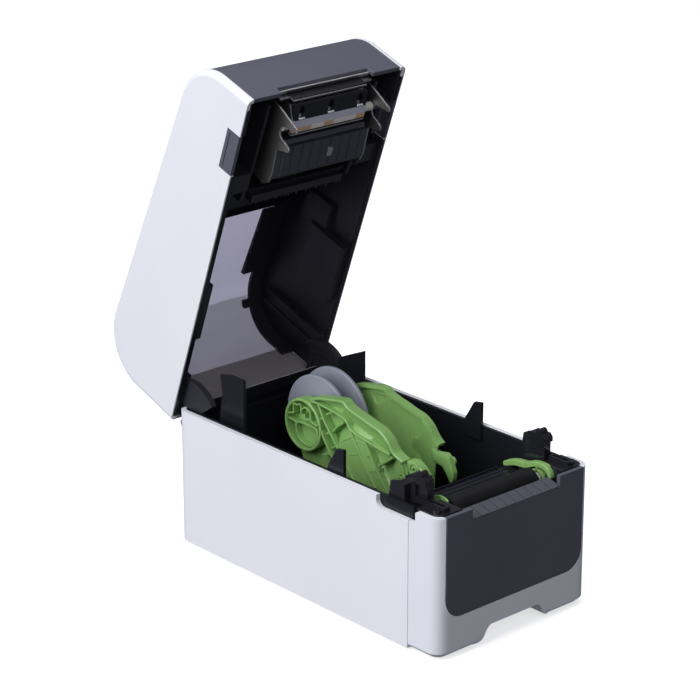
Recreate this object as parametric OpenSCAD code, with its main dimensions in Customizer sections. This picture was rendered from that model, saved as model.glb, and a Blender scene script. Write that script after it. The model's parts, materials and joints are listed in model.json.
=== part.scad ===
/* [Body] */
// Overall width of the body
body_w = 114; // [112:1:120]
// Overall depth of the body
body_d = 215; // [213:1:221]
// Height of the base, from the underside to the rim
base_h = 80; // [80:1:82]
// Wall thickness of the outer cases
wall = 2.8; // [2.4:0.1:3.0]
// Radius of the vertical corners
corner_r = 8; // [6:1:10]

/* [Lid] */
// How far the lid is modelled open, in degrees
lid_open = 70; // [0:1:70]
// Height of the closed lid's roof above the rim at its front
lid_front_h = 52; // [50:1:58]
// Upward slope of the roof towards the back, in degrees
roof_slope = 5.2; // [4:0.1:6]
// Radius of the nose's upper corner, seen from the side
nose_r = 27; // [22:1:32]
// Radius of the back's upper corner, seen from the side
back_r = 31; // [26:1:34]

/* [Media] */
// Distance between the facing sides of the two roll discs
disc_gap = 12; // [12:1:40]
// Radius of the roll discs
disc_r = 27; // [24:1:28]
// Length of the rubber platen roller
platen_len = 61; // [56:1:62]
// Radius of the rubber platen roller
platen_r = 7.5; // [7:0.1:7.6]
// How far each roll guide slides outwards
guide_travel = 24; // [20:1:25]

/* [Hidden] */
$fn = 48;

// Places along the depth (Y), with the middle of the underside as the origin
half_w = body_w / 2;
front_y = -body_d / 2;
rear_y = body_d / 2;
seam_y = front_y + 22.7;
inner_x = half_w - wall;
clearance = 0.3;
seam = 0.4;

// Hinge of the lid
hinge_y = rear_y - 4.6;
hinge_z = base_h - 8.4;
hinge_pin_r = 2.5;
sweep_r = 8.6;
lug_x0 = half_w - 9.5;
lug_x1 = half_w - 6;
sector_r = 25;

// Tub that holds the label roll
tub_x = inner_x - clearance;
tub_wall = 1.9;
tub_in_x = tub_x - tub_wall;
floor_z = 20;
floor_t = 2;
tub_front_y = front_y + 49.5;
tub_rear_y = rear_y - wall - clearance;

// Platen, and the gear train on its left end
platen_y = front_y + 20;
platen_z = base_h - 8.6;
shaft_r = 3;
shaft_flat = 2.4;
running = 0.03;
bush_x0 = 36.3;
bush_x1 = 40.3;
bush_r = 5.5;
gear_x0 = 41.2;
gear_w = 5;
gear_module = 0.6;
platen_teeth = 23;
idler_teeth = 36;
pinion_teeth = 14;
idler_y = platen_y + 6;
idler_z = platen_z - sqrt(pow(gear_module * (platen_teeth + idler_teeth) / 2 + 0.06, 2) - 36);
motor_y = idler_y + 5.5;
motor_z = idler_z - sqrt(pow(gear_module * (idler_teeth + pinion_teeth) / 2 + 0.06, 2) - 30.25);
motor_r = 13;
motor_ears = [[-16, 0], [0, -16]];
axle_r = 1.5;

// Roll guides: two arms on racks, joined by one pinion
spindle_y = 43;
spindle_z = base_h - 1.8;
arm_out_x = disc_gap / 2 + 12;
arm_rim = 5.6;
web_x1 = arm_out_x - arm_rim;
web_x0 = web_x1 - 1.6;
disc_x0 = disc_gap / 2;
disc_t = 2;
spindle_r = 4;
rack_y = 10;
rack_module = 1;
rack_teeth = 16;
rack_pitch_r = rack_module * rack_teeth / 2;
rack_z0 = 15;
rack_h = 3.6;

// Lid, described as if it were closed
lid_z0 = base_h + seam;
lid_wall = 2.4;
cheek_wrap = 4.2;
nose_c_y = front_y + nose_r;
roof_c_y = rear_y - back_r;
window_y = 18;
window_low_z = base_h + 28;
lining_x1 = half_w - lid_wall - 0.2;
lining_x0 = lining_x1 - 1.5;

// Print head and its bracket
ear_x0 = 32.8;
ear_t = 1;
head_x = 26;
head_travel = 6;

// Release levers of the lid
lever_y0 = front_y + 23.1;
lever_y1 = front_y + 47.2;
lever_h = 9.6;
lever_pin_x = half_w - 3.6;
lever_pin_z = base_h + 8.6;
lever_pin_r = 1.1;

// Feet and screws
foot_r = 6;
foot_drop = 1.5;
foot_places = [[-37, -86], [37, -86], [-37, 86], [37, 86]];
screw_places = [[-47, -93], [47, -93], [-47, 97], [47, 97]];

// ---------- helpers ----------

function polar(r, a) = [r * cos(a), r * sin(a)];

function arc(c, r, a0, a1, steps) =
    [for (i = [0:steps]) c + polar(r, a0 + (a1 - a0) * i / steps)];

// Height of the closed lid's roof over the place y, lowered by t
function roof_z(y, t) =
    base_h + lid_front_h + tan(roof_slope) * (y - (front_y + 23.5)) - t / cos(roof_slope);

// Centre height of a corner circle that touches the roof
function corner_z(y, r) = roof_z(y - r * sin(roof_slope), 0) - r * cos(roof_slope);

// A flat shape in the (y, z) plane, pulled out along X
module along_x(x0, x1) {
    translate([x0, 0, 0])
        rotate([90, 0, 90])
            linear_extrude(x1 - x0)
                children();
}

module x_cyl(y, z, x0, x1, r) {
    translate([x0, y, z])
        rotate([0, 90, 0])
            cylinder(h = x1 - x0, r = r);
}

module y_cyl(x, z, y0, y1, r) {
    translate([x, y1, z])
        rotate([90, 0, 0])
            cylinder(h = y1 - y0, r = r);
}

module block(x0, x1, y0, y1, z0, z1) {
    translate([x0, y0, z0])
        cube([x1 - x0, y1 - y0, z1 - z0]);
}

module round_rect(x0, x1, y0, y1, r) {
    translate([x0 + r, y0])
        square([x1 - x0 - 2 * r, y1 - y0]);
    translate([x0, y0 + r])
        square([x1 - x0, y1 - y0 - 2 * r]);
    for (x = [x0 + r, x1 - r], y = [y0 + r, y1 - r])
        translate([x, y])
            circle(r);
}

module both_sides() {
    children();
    mirror([1, 0, 0])
        children();
}

// A straight rib from a to b in the (y, z) plane
module rib(a, b, t) {
    d = b - a;
    translate(a)
        rotate(atan2(d[1], d[0]))
            translate([0, -t / 2])
                square([norm(d), t]);
}

// Opens whatever is drawn in the closed lid's place
module opened() {
    translate([0, hinge_y, hinge_z])
        rotate([-lid_open, 0, 0])
            translate([0, -hinge_y, -hinge_z])
                children();
}

// Side view of the closed lid, with every edge moved in by t
module lid_profile(t) {
    nose_c = [nose_c_y, corner_z(nose_c_y, nose_r)];
    back_c = [roof_c_y, corner_z(roof_c_y, back_r)];
    steps = 30;
    polygon(concat(
        [[front_y + t, lid_z0 - 30]],
        arc(nose_c, nose_r - t, 180, 90 + roof_slope, steps),
        arc(back_c, back_r - t, 90 + roof_slope, 0, steps),
        [[rear_y - t, lid_z0 - 30]]
    ));
}

module lid_skin(x0, x1, t0, t1) {
    difference() {
        along_x(x0, x1)
            lid_profile(t0);
        along_x(x0 - 1, x1 + 1)
            lid_profile(t1);
        block(-half_w, half_w, front_y - 1, rear_y + 1, lid_z0 - 40, lid_z0);
    }
}

// Involute tooth flank: half the tooth's angle at the radius r
function involute(a) = tan(a) * 180 / PI - a;
function tooth_half(r, pitch_r, teeth, play) =
    90 / teeth - play / pitch_r * 90 / PI
    + involute(20)
    - involute(acos(min(1, pitch_r * cos(20) / max(r, pitch_r * cos(20)))));

module gear_shape(m, teeth, play) {
    pitch_r = m * teeth / 2;
    root_r = pitch_r - 1.2 * m;
    tip_r = pitch_r + 0.95 * m;
    steps = 4;
    polygon([
        for (i = [0:teeth - 1], side = [-1, 1], k = [0:steps])
            let (
                out = side < 0 ? k / steps : 1 - k / steps,
                r = root_r + (tip_r - root_r) * out,
                half = tooth_half(r, pitch_r, teeth, play)
            )
            polar(r, i * 360 / teeth + side * half)
    ]);
}

// Rack with its pitch line on y = 0 and teeth towards +y, a tooth on x = 0
module rack_shape(m, x0, x1, play) {
    pitch = PI * m;
    first = ceil((x0 + pitch / 2) / pitch);
    last = floor((x1 - pitch / 2) / pitch);
    foot = pitch / 4 + 1.1 * m * tan(20) - play;
    top = pitch / 4 - 0.9 * m * tan(20) - play;
    polygon(concat(
        [[x1, -1.1 * m], [x1, -4.2 * m], [x0, -4.2 * m], [x0, -1.1 * m]],
        [
            for (i = [first:last], p = [[-foot, -1.1], [-top, 0.9], [top, 0.9], [foot, -1.1]])
                [i * pitch + p[0], p[1] * m]
        ]
    ));
}

// ---------- base: outside ----------

module base_outline(t) {
    round_rect(-half_w + t, half_w - t, front_y + t, rear_y - t, max(corner_r - t, 1));
}

// Everything above the hinge and behind its axis that the lid sweeps
module hinge_sweep() {
    difference() {
        block(-half_w - 1, half_w + 1, hinge_y, rear_y + 1, hinge_z, base_h + 1);
        x_cyl(hinge_y, hinge_z, -half_w - 2, half_w + 2, sweep_r);
    }
}

// The slots in the back wall that the lid's hinge lugs swing through
module hinge_slots() {
    both_sides()
        block(lug_x0 - 0.5, lug_x1 + 0.5, hinge_y - 6, rear_y + 1, hinge_z - 5.5, base_h + 1);
}

// Finger recess under the lid's release lever
module latch_recess() {
    both_sides()
        along_x(half_w - 4, half_w + 1) {
            translate([seam_y - 5, base_h - 6.6])
                square([lever_y1 - seam_y + 1, 10]);
            translate([seam_y + 10, base_h - 3.4])
                square([lever_y1 - seam_y - 10, 6]);
            translate([lever_y1 - 4, base_h - 2.6])
                circle(4);
        }
}

module case_shell() {
    difference() {
        linear_extrude(base_h)
            base_outline(0);
        translate([0, 0, -1])
            linear_extrude(base_h + 2)
                base_outline(wall);
    }
}

module screw_boss(p, z1) {
    side = sign(p[0]);
    difference() {
        union() {
            translate([p[0], p[1], 2.7])
                cylinder(h = z1 - 2.7, r = 3.6);
            block(min(side * inner_x, p[0]) - 0.2, max(side * inner_x, p[0]) + 0.2,
                p[1] - 1.2, p[1] + 1.2, 2.7, z1);
        }
        translate([p[0], p[1], 0])
            cylinder(h = z1 - 2, r = 1.25);
    }
}

module lower_case() {
    color([0.90, 0.91, 0.94])
        difference() {
            union() {
                difference() {
                    case_shell();
                    block(-half_w - 1, half_w + 1, front_y - 1, seam_y + 0.15, -1, base_h + 1);
                    latch_recess();
                }
                for (p = [screw_places[2], screw_places[3]])
                    screw_boss(p, 18);
            }
            hinge_sweep();
            hinge_slots();
            x_cyl(hinge_y, hinge_z, -half_w + 1.5, half_w - 1.5, hinge_pin_r);
            block(dc_x - 5.3, dc_x + 5.3, rear_y - 6, rear_y + 1, port_z0 - 0.3, port_z0 + 11.6);
            block(usb_x - 6.5, usb_x + 6.5, rear_y - 6, rear_y + 1, port_z0 - 0.3, port_z0 + 11.2);
        }
}

panel_x = half_w - 5.7;
panel_z0 = 21.5;
panel_t = 2.4;
exit_x = 32.6;

module panel_outline(t) {
    r = 12 - t;
    translate([-panel_x + t, panel_z0 + 12])
        square([2 * (panel_x - t), base_h - panel_z0 - 12]);
    translate([-panel_x + 12, panel_z0 + t])
        square([2 * (panel_x - 12), base_h - panel_z0 - t]);
    for (side = [-1, 1])
        translate([side * (panel_x - 12), panel_z0 + 12])
            circle(r);
}

module facing_front(y0, y1) {
    translate([0, y1, 0])
        rotate([90, 0, 0])
            linear_extrude(y1 - y0)
                children();
}

notch_top = 19.5;
notch_foot = 23.5;
notch_h = 9.4;
notch_depth = 24;

module notch_outline(t) {
    polygon([
        [-notch_foot - t, -1], [-notch_top - t, notch_h + t],
        [notch_top + t, notch_h + t], [notch_foot + t, -1]
    ]);
}

module front_bezel() {
    color([0.88, 0.89, 0.92])
        difference() {
            union() {
                difference() {
                    case_shell();
                    block(-half_w - 1, half_w + 1, seam_y - 0.15, rear_y + 1, -1, base_h + 1);
                }
                intersection() {
                    facing_front(front_y + 0.5, front_y + notch_depth + 2)
                        notch_outline(2);
                    block(-half_w, half_w, front_y, 0, 0, base_h);
                }
                for (p = [screw_places[0], screw_places[1]])
                    screw_boss(p, 18);
            }
            facing_front(front_y - 1, front_y + wall + 1)
                panel_outline(0);
            facing_front(front_y - 1, front_y + notch_depth)
                notch_outline(0);
            latch_recess();
        }
}

module front_panel() {
    color([0.18, 0.18, 0.21])
        difference() {
            union() {
                facing_front(front_y, front_y + panel_t)
                    panel_outline(0.35);
                block(-36, 36, front_y + panel_t - 0.1, front_y + 4, panel_z0 + 1, panel_z0 + 7);
                block(-36, 36, front_y + wall + 0.05, front_y + 4, panel_z0 - 4, panel_z0 + 2);
            }
            block(-exit_x, exit_x, front_y - 1, front_y + 5, base_h - 6.3, base_h + 1);
        }
}

module media_exit_lip() {
    color([0.30, 0.30, 0.34]) {
        difference() {
            along_x(-exit_x + 0.2, exit_x - 0.2)
                polygon([
                    [front_y, base_h - 6.2], [front_y, base_h - 5.6],
                    [front_y + 8.3, base_h - 2.9], [front_y + 9.6, base_h - 3.6],
                    [front_y + 9.6, base_h - 12], [front_y + panel_t + 0.1, base_h - 12],
                    [front_y + panel_t + 0.1, base_h - 6.2]
                ]);
            for (i = [-4:5])
                translate([(i - 0.5) * 6.5, front_y, base_h - 5.6])
                    rotate([18, 0, 0])
                        translate([-0.2, -1, -0.3])
                            cube([0.4, 9.4, 2]);
        }
    }
}

module bottom_cover() {
    color([0.20, 0.20, 0.22])
        difference() {
            union() {
                linear_extrude(2.5)
                    base_outline(wall + clearance);
                for (p = board_posts)
                    translate([p[0], p[1], 2.5])
                        cylinder(h = board_z - 2.5, r = 3);
            }
            for (p = board_posts)
                translate([p[0], p[1], 1.5])
                    cylinder(h = 10, r = 1.1);
            for (p = foot_places)
                translate([p[0], p[1], -1])
                    cylinder(h = 2, r = foot_r + 0.3);
            for (p = screw_places)
                translate([p[0], p[1], -1]) {
                    cylinder(h = 5, r = 1.6);
                    cylinder(h = 2.2, r = 3.3);
                }
            block(-notch_foot - 3, notch_foot + 3, front_y, front_y + notch_depth + 2.4, -1, 4);
        }
}

module rubber_feet() {
    color([0.08, 0.08, 0.09])
        for (p = foot_places)
            translate([p[0], p[1], -foot_drop])
                cylinder(h = foot_drop + 1, r = foot_r);
}

module screw(p, head_z, length, head_r, thread_r) {
    translate([p[0], p[1], head_z])
        difference() {
            union() {
                cylinder(h = 1.1, r = head_r);
                cylinder(h = length, r = thread_r);
            }
            for (a = [0, 90])
                rotate(a)
                    translate([-1.6, -0.3, -1])
                        cube([3.2, 0.6, 1.6]);
        }
}

module case_screws() {
    color([0.65, 0.65, 0.68])
        for (p = screw_places)
            screw(p, 0.1, 10, 2.9, 1.25);
}

// ---------- base: inside ----------

tub_legs = [[-46, -44], [46, -44], [-46, 60], [46, 60]];
tab_x0 = tub_in_x - 1.6;

module rim_tab() {
    along_x(tab_x0, tab_x0 + 2)
        polygon([
            [-17, base_h - 8], [-17, base_h + 2], [-24, base_h + 13.4],
            [-29.6, base_h + 14.3], [-29.6, base_h - 8]
        ]);
}

// The two upright plates beside the hinge are not the same height
module rear_shields() {
    along_x(half_w - 13, half_w - 11)
        polygon([
            [60.5, floor_z + 1], [60.5, base_h + 22], [75, base_h + 15.6],
            [81.5, base_h + 12.6], [81.5, floor_z + 1]
        ]);
    along_x(-half_w + 11, -half_w + 13)
        polygon([
            [60.5, floor_z + 1], [60.5, base_h + 26.4], [72, base_h + 26.8],
            [80.5, base_h + 25], [79, base_h + 14], [81.5, base_h - 1],
            [81.5, floor_z + 1]
        ]);
}

module inner_tub() {
    color([0.06, 0.06, 0.07])
        difference() {
            union() {
                difference() {
                    translate([0, 0, floor_z])
                        linear_extrude(base_h - floor_z)
                            intersection() {
                                base_outline(wall + clearance);
                                translate([-half_w, seam_y - 0.5])
                                    square([body_w, body_d]);
                            }
                    block(-tub_in_x, tub_in_x, tub_front_y, tub_rear_y - 2,
                        floor_z + floor_t, base_h + 1);
                    block(-tub_in_x, tub_in_x, seam_y - 1, tub_front_y - 1.8, floor_z - 1, base_h + 1);
                    block(-tub_in_x, tub_in_x, seam_y - 1, tub_front_y + 1, base_h - 12.5, base_h + 1);
                    block(-half_w, half_w, seam_y - 1, tub_front_y - 10, floor_z - 1, base_h - 20);
                }
                for (p = tub_legs)
                    translate([p[0], p[1], 2.5])
                        cylinder(h = floor_z - 2.4, r = 3);
                rear_shields();
                both_sides() {
                    rim_tab();
                    block(half_w - 13, lug_x0 - 0.6, hinge_y - 5, tub_rear_y - 1, floor_z + 1,
                        hinge_z + 4.5);
                }
            }
            for (y = [rack_y - rack_pitch_r - 3, rack_y + rack_pitch_r - 3])
                both_sides()
                    block(2, 45, y, y + 6, floor_z - 1, floor_z + floor_t + 1);
            x_cyl(hinge_y, hinge_z, -half_w, half_w, hinge_pin_r);
            translate([0, rack_y, floor_z - 1])
                cylinder(h = 5, r = axle_r);
            hinge_sweep();
            hinge_slots();
        }
}

deck_z = base_h - 10.5;

module print_chassis() {
    color([0.07, 0.07, 0.08])
        difference() {
            union() {
                both_sides()
                    along_x(bush_x0, bush_x1)
                        polygon([
                            [front_y + 9.8, 2.5], [front_y + 9.8, base_h - 2],
                            [front_y + 33, base_h - 2], [front_y + 36, base_h - 10.5],
                            [tub_front_y - 2.2, base_h - 10.5], [tub_front_y - 2.2, 2.5]
                        ]);
                block(-bush_x0 - 1, bush_x0 + 1, front_y + 28.6, tub_front_y - 2.2, deck_z - 3, deck_z);
                block(-bush_x0 - 1, bush_x0 + 1, tub_front_y - 4.2, tub_front_y - 2.2, 26, deck_z);
                block(-bush_x0 - 1, bush_x0 + 1, front_y + 9.8, front_y + 11.6, 26, base_h - 16);
                for (i = [-5:5])
                    block(i * 6 - 0.5, i * 6 + 0.5, front_y + 36.5, tub_front_y - 2.2,
                        deck_z - 1, deck_z + 0.9);
            }
            x_cyl(platen_y, platen_z, -bush_x1 - 1, bush_x1 + 1, bush_r + running);
            both_sides() {
                block(bush_x0 - 1, bush_x1 + 1, platen_y - bush_r - running,
                    platen_y + bush_r + running, platen_z, base_h + 1);
                block(ear_x0 - 1.2, ear_x0 + ear_t + 1.2, front_y, front_y + 34, base_h - 22,
                    base_h + 1);
            }
            x_cyl(motor_y, motor_z, -bush_x1 - 1, -bush_x0 + 1, 4.6);
            for (p = motor_ears)
                x_cyl(motor_y + p[0], motor_z + p[1], -bush_x1 - 1, -bush_x0 + 1, 1.5);
            x_cyl(idler_y, idler_z, -bush_x1 - 1, -bush_x0 + 1, axle_r);
            block(-22, 22, front_y + 39, front_y + 44.5, deck_z - 4, deck_z + 2);
        }
}

post_x0 = 41.2;
post_x1 = 47.6;

module latch_post() {
    difference() {
        union() {
            along_x(post_x0, post_x1)
                polygon([
                    [front_y + 20.2, base_h - 0.7], [front_y + 20.2, base_h + 12.5],
                    [front_y + 22, base_h + 14.4], [front_y + 31, base_h + 14.4],
                    [front_y + 35, base_h + 12], [front_y + 35, base_h - 12],
                    [front_y + 28.6, base_h - 12], [front_y + 28.6, base_h - 0.7]
                ]);
            block(bush_x1, post_x0 + 0.1, front_y + 28.6, front_y + 32.8, base_h - 12, base_h - 3);
            along_x(post_x1 - 0.2, tub_in_x - 0.4)
                polygon([
                    [front_y + 31.5, base_h - 6], [front_y + 31.5, base_h + 9],
                    [front_y + 34, base_h + 11], [front_y + 42, base_h + 8.5],
                    [front_y + 44, base_h - 6]
                ]);
            x_cyl(front_y + 25.5, base_h + 14.6, post_x0 + 0.6, post_x1 - 0.6, 2);
        }
        block(post_x1 - 1.6, post_x1 + 1, front_y + 19, front_y + 27.5, base_h + 3, base_h + 9.8);
    }
}

module latch_post_left() {
    color([0.05, 0.05, 0.07])
        mirror([1, 0, 0])
            latch_post();
}

module latch_post_right() {
    color([0.05, 0.05, 0.07])
        latch_post();
}

plate_z = base_h - 0.8;

module corner_plate() {
    difference() {
        union() {
            translate([0, 0, plate_z])
                linear_extrude(1.3)
                    difference() {
                        base_outline(wall + clearance);
                        translate([-half_w, front_y + 19.8])
                            square([body_w, body_d]);
                        translate([-half_w, front_y])
                            square([half_w + bush_x0 + 0.8, body_d]);
                    }
            block(bush_x0 + 0.8, tub_x - 6, front_y + panel_t + 0.1, front_y + 9.5, base_h - 9,
                plate_z + 0.1);
            block(bush_x0 + 0.8, bush_x1 - 0.2, front_y + 10, front_y + 14, base_h - 2,
                plate_z + 0.1);
            block(43.5, 48.5, front_y + 5.5, front_y + 19.4, plate_z + 1, base_h + 3);
            translate([50, front_y + 9, plate_z])
                cylinder(h = 2.4, r = 2.4);
        }
        translate([50, front_y + 9, base_h - 3])
            cylinder(h = 8, r = 1.2);
        block(44.8, 47.2, front_y + 7, front_y + 18, base_h + 1.2, base_h + 4);
    }
}

module corner_plate_left() {
    color([0.06, 0.06, 0.07])
        mirror([1, 0, 0])
            corner_plate();
}

module corner_plate_right() {
    color([0.06, 0.06, 0.07])
        corner_plate();
}

hook_seat_r = 3.7;

module platen_bushes() {
    color([0.75, 0.74, 0.70])
        both_sides()
            difference() {
                union() {
                    x_cyl(platen_y, platen_z, bush_x0, bush_x1, bush_r);
                    x_cyl(platen_y, platen_z, platen_len / 2 + 0.6, bush_x0 + 0.1, hook_seat_r);
                }
                x_cyl(platen_y, platen_z, platen_len / 2, bush_x1 + 1, shaft_r + running);
            }
}

module media_sensor_bar() {
    color([0.10, 0.10, 0.12])
        difference() {
            union() {
                block(-21.8, 21.8, front_y + 39.2, front_y + 44.3, deck_z - 4, deck_z - 0.2);
                block(-24, 24, front_y + 37.5, front_y + 45, deck_z - 4.4, deck_z - 3);
            }
            block(-20, 20, front_y + 41, front_y + 42.4, deck_z - 1, deck_z + 1);
        }
}

module stepper_motor() {
    color([0.55, 0.56, 0.58])
        difference() {
            union() {
                x_cyl(motor_y, motor_z, -bush_x0 + 1.2, -bush_x0 + 19, motor_r);
                x_cyl(motor_y, motor_z, -bush_x1 + 0.4, -bush_x0 + 1.3, 4.5);
                along_x(-bush_x0, -bush_x0 + 1.3)
                    for (p = motor_ears)
                        translate([motor_y, motor_z]) {
                            rib([0, 0], p, 6.4);
                            translate(p)
                                circle(3.2);
                        }
            }
            x_cyl(motor_y, motor_z, -bush_x1 - 1, -bush_x0 + 6, 1 + running);
            for (p = motor_ears)
                x_cyl(motor_y + p[0], motor_z + p[1], -bush_x1, -bush_x0 + 3, 1.5);
        }
}

module motor_screws() {
    color([0.65, 0.65, 0.68])
        for (p = motor_ears) {
            x_cyl(motor_y + p[0], motor_z + p[1], -bush_x1 - 0.1, -bush_x0 + 1.3, 1.5);
            x_cyl(motor_y + p[0], motor_z + p[1], -bush_x1 - 0.8, -bush_x1, 2.6);
        }
}

module gear_axle() {
    color([0.7, 0.7, 0.72])
        x_cyl(idler_y, idler_z, -gear_x0 - gear_w - 0.8, -bush_x0 - 0.3, axle_r);
}

board_z = 5;
board_posts = [[-36, -44], [36, -44], [-36, 84], [36, 84]];
port_z0 = board_z + 1.6;
dc_x = -26;
usb_x = -6;

module main_board() {
    color([0.07, 0.30, 0.18])
        difference() {
            block(-40, 40, -50, 101, board_z, board_z + 1.6);
            for (p = board_posts)
                translate([p[0], p[1], 0])
                    cylinder(h = 20, r = 1.5);
        }
    color([0.12, 0.12, 0.13]) {
        block(-8, 8, 34, 50, board_z + 1.5, board_z + 3.2);
        block(18, 30, 30, 38, board_z + 1.5, board_z + 3);
        block(-30, -14, -48, -42, board_z + 1.5, board_z + 9);
        block(4, 30, -48, -42, board_z + 1.5, board_z + 8);
        for (i = [0:2])
            translate([14 + 9 * i, 62, board_z + 1.5])
                cylinder(h = 8.4, r = 3.8);
    }
}

module board_screws() {
    color([0.65, 0.65, 0.68])
        for (p = board_posts)
            translate([p[0], p[1], 2.5]) {
                cylinder(h = board_z - 0.9, r = 1.1);
                translate([0, 0, board_z - 0.9])
                    cylinder(h = 1.4, r = 2.4);
            }
}

module dc_jack() {
    color([0.08, 0.08, 0.08])
        difference() {
            block(dc_x - 5, dc_x + 5, rear_y - 14, rear_y - 0.3, port_z0, port_z0 + 11);
            y_cyl(dc_x, port_z0 + 5.8, rear_y - 11, rear_y + 1, 3.2);
        }
    color([0.75, 0.72, 0.6])
        y_cyl(dc_x, port_z0 + 5.8, rear_y - 11.2, rear_y - 2, 0.95);
}

module usb_port() {
    color([0.75, 0.76, 0.78])
        difference() {
            block(usb_x - 6, usb_x + 6, rear_y - 16, rear_y - 0.4, port_z0, port_z0 + 10.8);
            block(usb_x - 4.3, usb_x + 4.3, rear_y - 11, rear_y + 1, port_z0 + 1.4, port_z0 + 9.2);
        }
    color([0.9, 0.9, 0.9])
        block(usb_x - 2.8, usb_x + 2.8, rear_y - 11.2, rear_y - 2.4, port_z0 + 3.7, port_z0 + 6.9);
}

module hinge_pins() {
    color([0.72, 0.72, 0.74])
        both_sides()
            x_cyl(hinge_y, hinge_z, half_w - 12.9, half_w - 1.5, hinge_pin_r);
}

module guide_pinion_axle() {
    color([0.7, 0.7, 0.72])
        translate([0, rack_y, rack_z0 - 1.2]) {
            cylinder(h = floor_z + floor_t - rack_z0 + 1.2, r = axle_r);
            cylinder(h = 0.9, r = 3);
        }
}

// ---------- platen and gears ----------

module platen_roller() {
    color([0.06, 0.06, 0.06])
        difference() {
            x_cyl(platen_y, platen_z, -platen_len / 2, platen_len / 2, platen_r);
            x_cyl(platen_y, platen_z, -platen_len / 2 - 1, platen_len / 2 + 1, shaft_r);
        }
}

module platen_shaft() {
    color([0.75, 0.75, 0.77])
        difference() {
            x_cyl(platen_y, platen_z, -gear_x0 - gear_w - 0.6, bush_x1 + 0.6, shaft_r);
            block(-gear_x0 - gear_w - 1, -gear_x0 + 0.2, platen_y - 5, platen_y + 5,
                platen_z + shaft_flat, platen_z + 6);
        }
}

platen_to_idler = atan2(idler_z - platen_z, idler_y - platen_y);
idler_to_pinion = atan2(motor_z - idler_z, motor_y - idler_y);
idler_turn = platen_to_idler + 180 + 180 / idler_teeth;
pinion_phase = idler_turn - idler_to_pinion;

module gear_at(y, z, teeth, turn) {
    translate([-gear_x0 - gear_w, y, z])
        rotate([90, 0, 90])
            rotate(turn)
                linear_extrude(gear_w)
                    gear_shape(gear_module, teeth, 0.07);
}

module platen_gear() {
    color([0.85, 0.84, 0.80])
        difference() {
            gear_at(platen_y, platen_z, platen_teeth, platen_to_idler);
            difference() {
                x_cyl(platen_y, platen_z, -gear_x0 - gear_w - 1, -gear_x0 + 1, shaft_r);
                block(-gear_x0 - gear_w - 2, -gear_x0 + 2, platen_y - 5, platen_y + 5,
                    platen_z + shaft_flat, platen_z + 6);
            }
        }
}

module idler_gear() {
    color([0.85, 0.84, 0.80])
        difference() {
            gear_at(idler_y, idler_z, idler_teeth, idler_turn);
            x_cyl(idler_y, idler_z, -gear_x0 - gear_w - 1, -gear_x0 + 1, axle_r + running);
        }
}

module motor_pinion() {
    color([0.72, 0.60, 0.35]) {
        gear_at(motor_y, motor_z, pinion_teeth,
            idler_to_pinion + 180 + 180 / pinion_teeth - pinion_phase * idler_teeth / pinion_teeth);
        x_cyl(motor_y, motor_z, -gear_x0 - gear_w, -bush_x0 + 5.8, 1);
    }
}

lever_x0 = 35.1;

module release_ring(x0, x1) {
    difference() {
        x_cyl(platen_y, platen_z, x0, x1, hook_seat_r + 2.2);
        x_cyl(platen_y, platen_z, x0 - 1, x1 + 1, hook_seat_r + 0.05);
    }
}

module platen_lever_right() {
    color([0.50, 0.76, 0.32]) {
        release_ring(lever_x0, bush_x0 - 0.1);
        along_x(lever_x0, bush_x0 - 0.1) {
            difference() {
                translate([platen_y, platen_z])
                    circle(11.6);
                translate([platen_y, platen_z])
                    circle(8.8);
                translate([platen_y - 14, platen_z - 14])
                    square([28, 14 + 2.4]);
                translate([platen_y + 2, platen_z])
                    square([14, 14]);
            }
            rib([platen_y + 1.4, platen_z + 10], [platen_y + 21.5, platen_z + 5], 3);
            translate([platen_y + 21.5, platen_z + 5])
                circle(1.9);
            rib([platen_y - 4.5, platen_z + 3.6], [platen_y - 8.8, platen_z + 4.6], 2.6);
            rib([platen_y + 1.6, platen_z + 5], [platen_y + 1.6, platen_z + 9.6], 2.6);
        }
    }
}

module platen_lever_left() {
    color([0.50, 0.76, 0.32]) {
        release_ring(-bush_x0 + 0.1, -lever_x0);
        along_x(-bush_x0 + 0.1, -lever_x0)
            difference() {
                translate([platen_y, platen_z])
                    circle(10.4);
                translate([platen_y, platen_z])
                    circle(hook_seat_r + 1);
                translate([platen_y - 14, platen_z - 14])
                    square([28, 14 + 4.4]);
                translate([platen_y - 14, platen_z])
                    square([9, 14]);
            }
    }
}

// ---------- roll guides ----------

arm_top = [
    [spindle_y - 13, base_h + 17.8], [9, base_h + 22.2], [7, base_h + 18.4],
    [-7, base_h + 15.6], [-14, base_h + 13.6], [-20, base_h + 13.2], [-26, base_h + 9.2],
    [-28.6, base_h + 5.4], [-30.2, base_h + 2.2]
];
arm_nose = [
    [-38.4, base_h - 0.4], [-43, base_h + 2], [-47.5, base_h + 0.6],
    [-51, base_h - 2.2], [-55, base_h - 7.4], [-52.5, base_h - 13], [-46, base_h - 14]
];
arm_foot = [
    [-40, floor_z + 2.4], [22, floor_z + 2.4], [26, base_h - 30], [50, base_h - 27]
];
ring_c = [spindle_y, spindle_z];
ring_r = 15.4;

rib_links = [
    [[22, base_h + 6], [17, base_h + 9]], [[14, base_h - 4], [9, base_h - 1]],
    [[12, base_h + 4], [6, base_h + 8]], [[5, base_h - 7], [-1, base_h - 3]],
    [[-3, base_h - 13], [-9, base_h - 9]], [[-10, base_h - 9], [-16, base_h - 5]]
];

// Thin wall along a list of points
module wall_along(points, t) {
    for (i = [0:len(points) - 2]) {
        rib(points[i], points[i + 1], t);
        translate(points[i + 1])
            circle(t / 2 + 0.08, $fn = 10);
    }
}

module arm_web_shape() {
    polygon(concat(arm_top, [arm_nose[0], [-46, base_h - 14]], arm_foot,
        arc(ring_c, ring_r - 3, -37, 100, 12)));
    translate(ring_c)
        circle(ring_r - 0.5);
}

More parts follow.
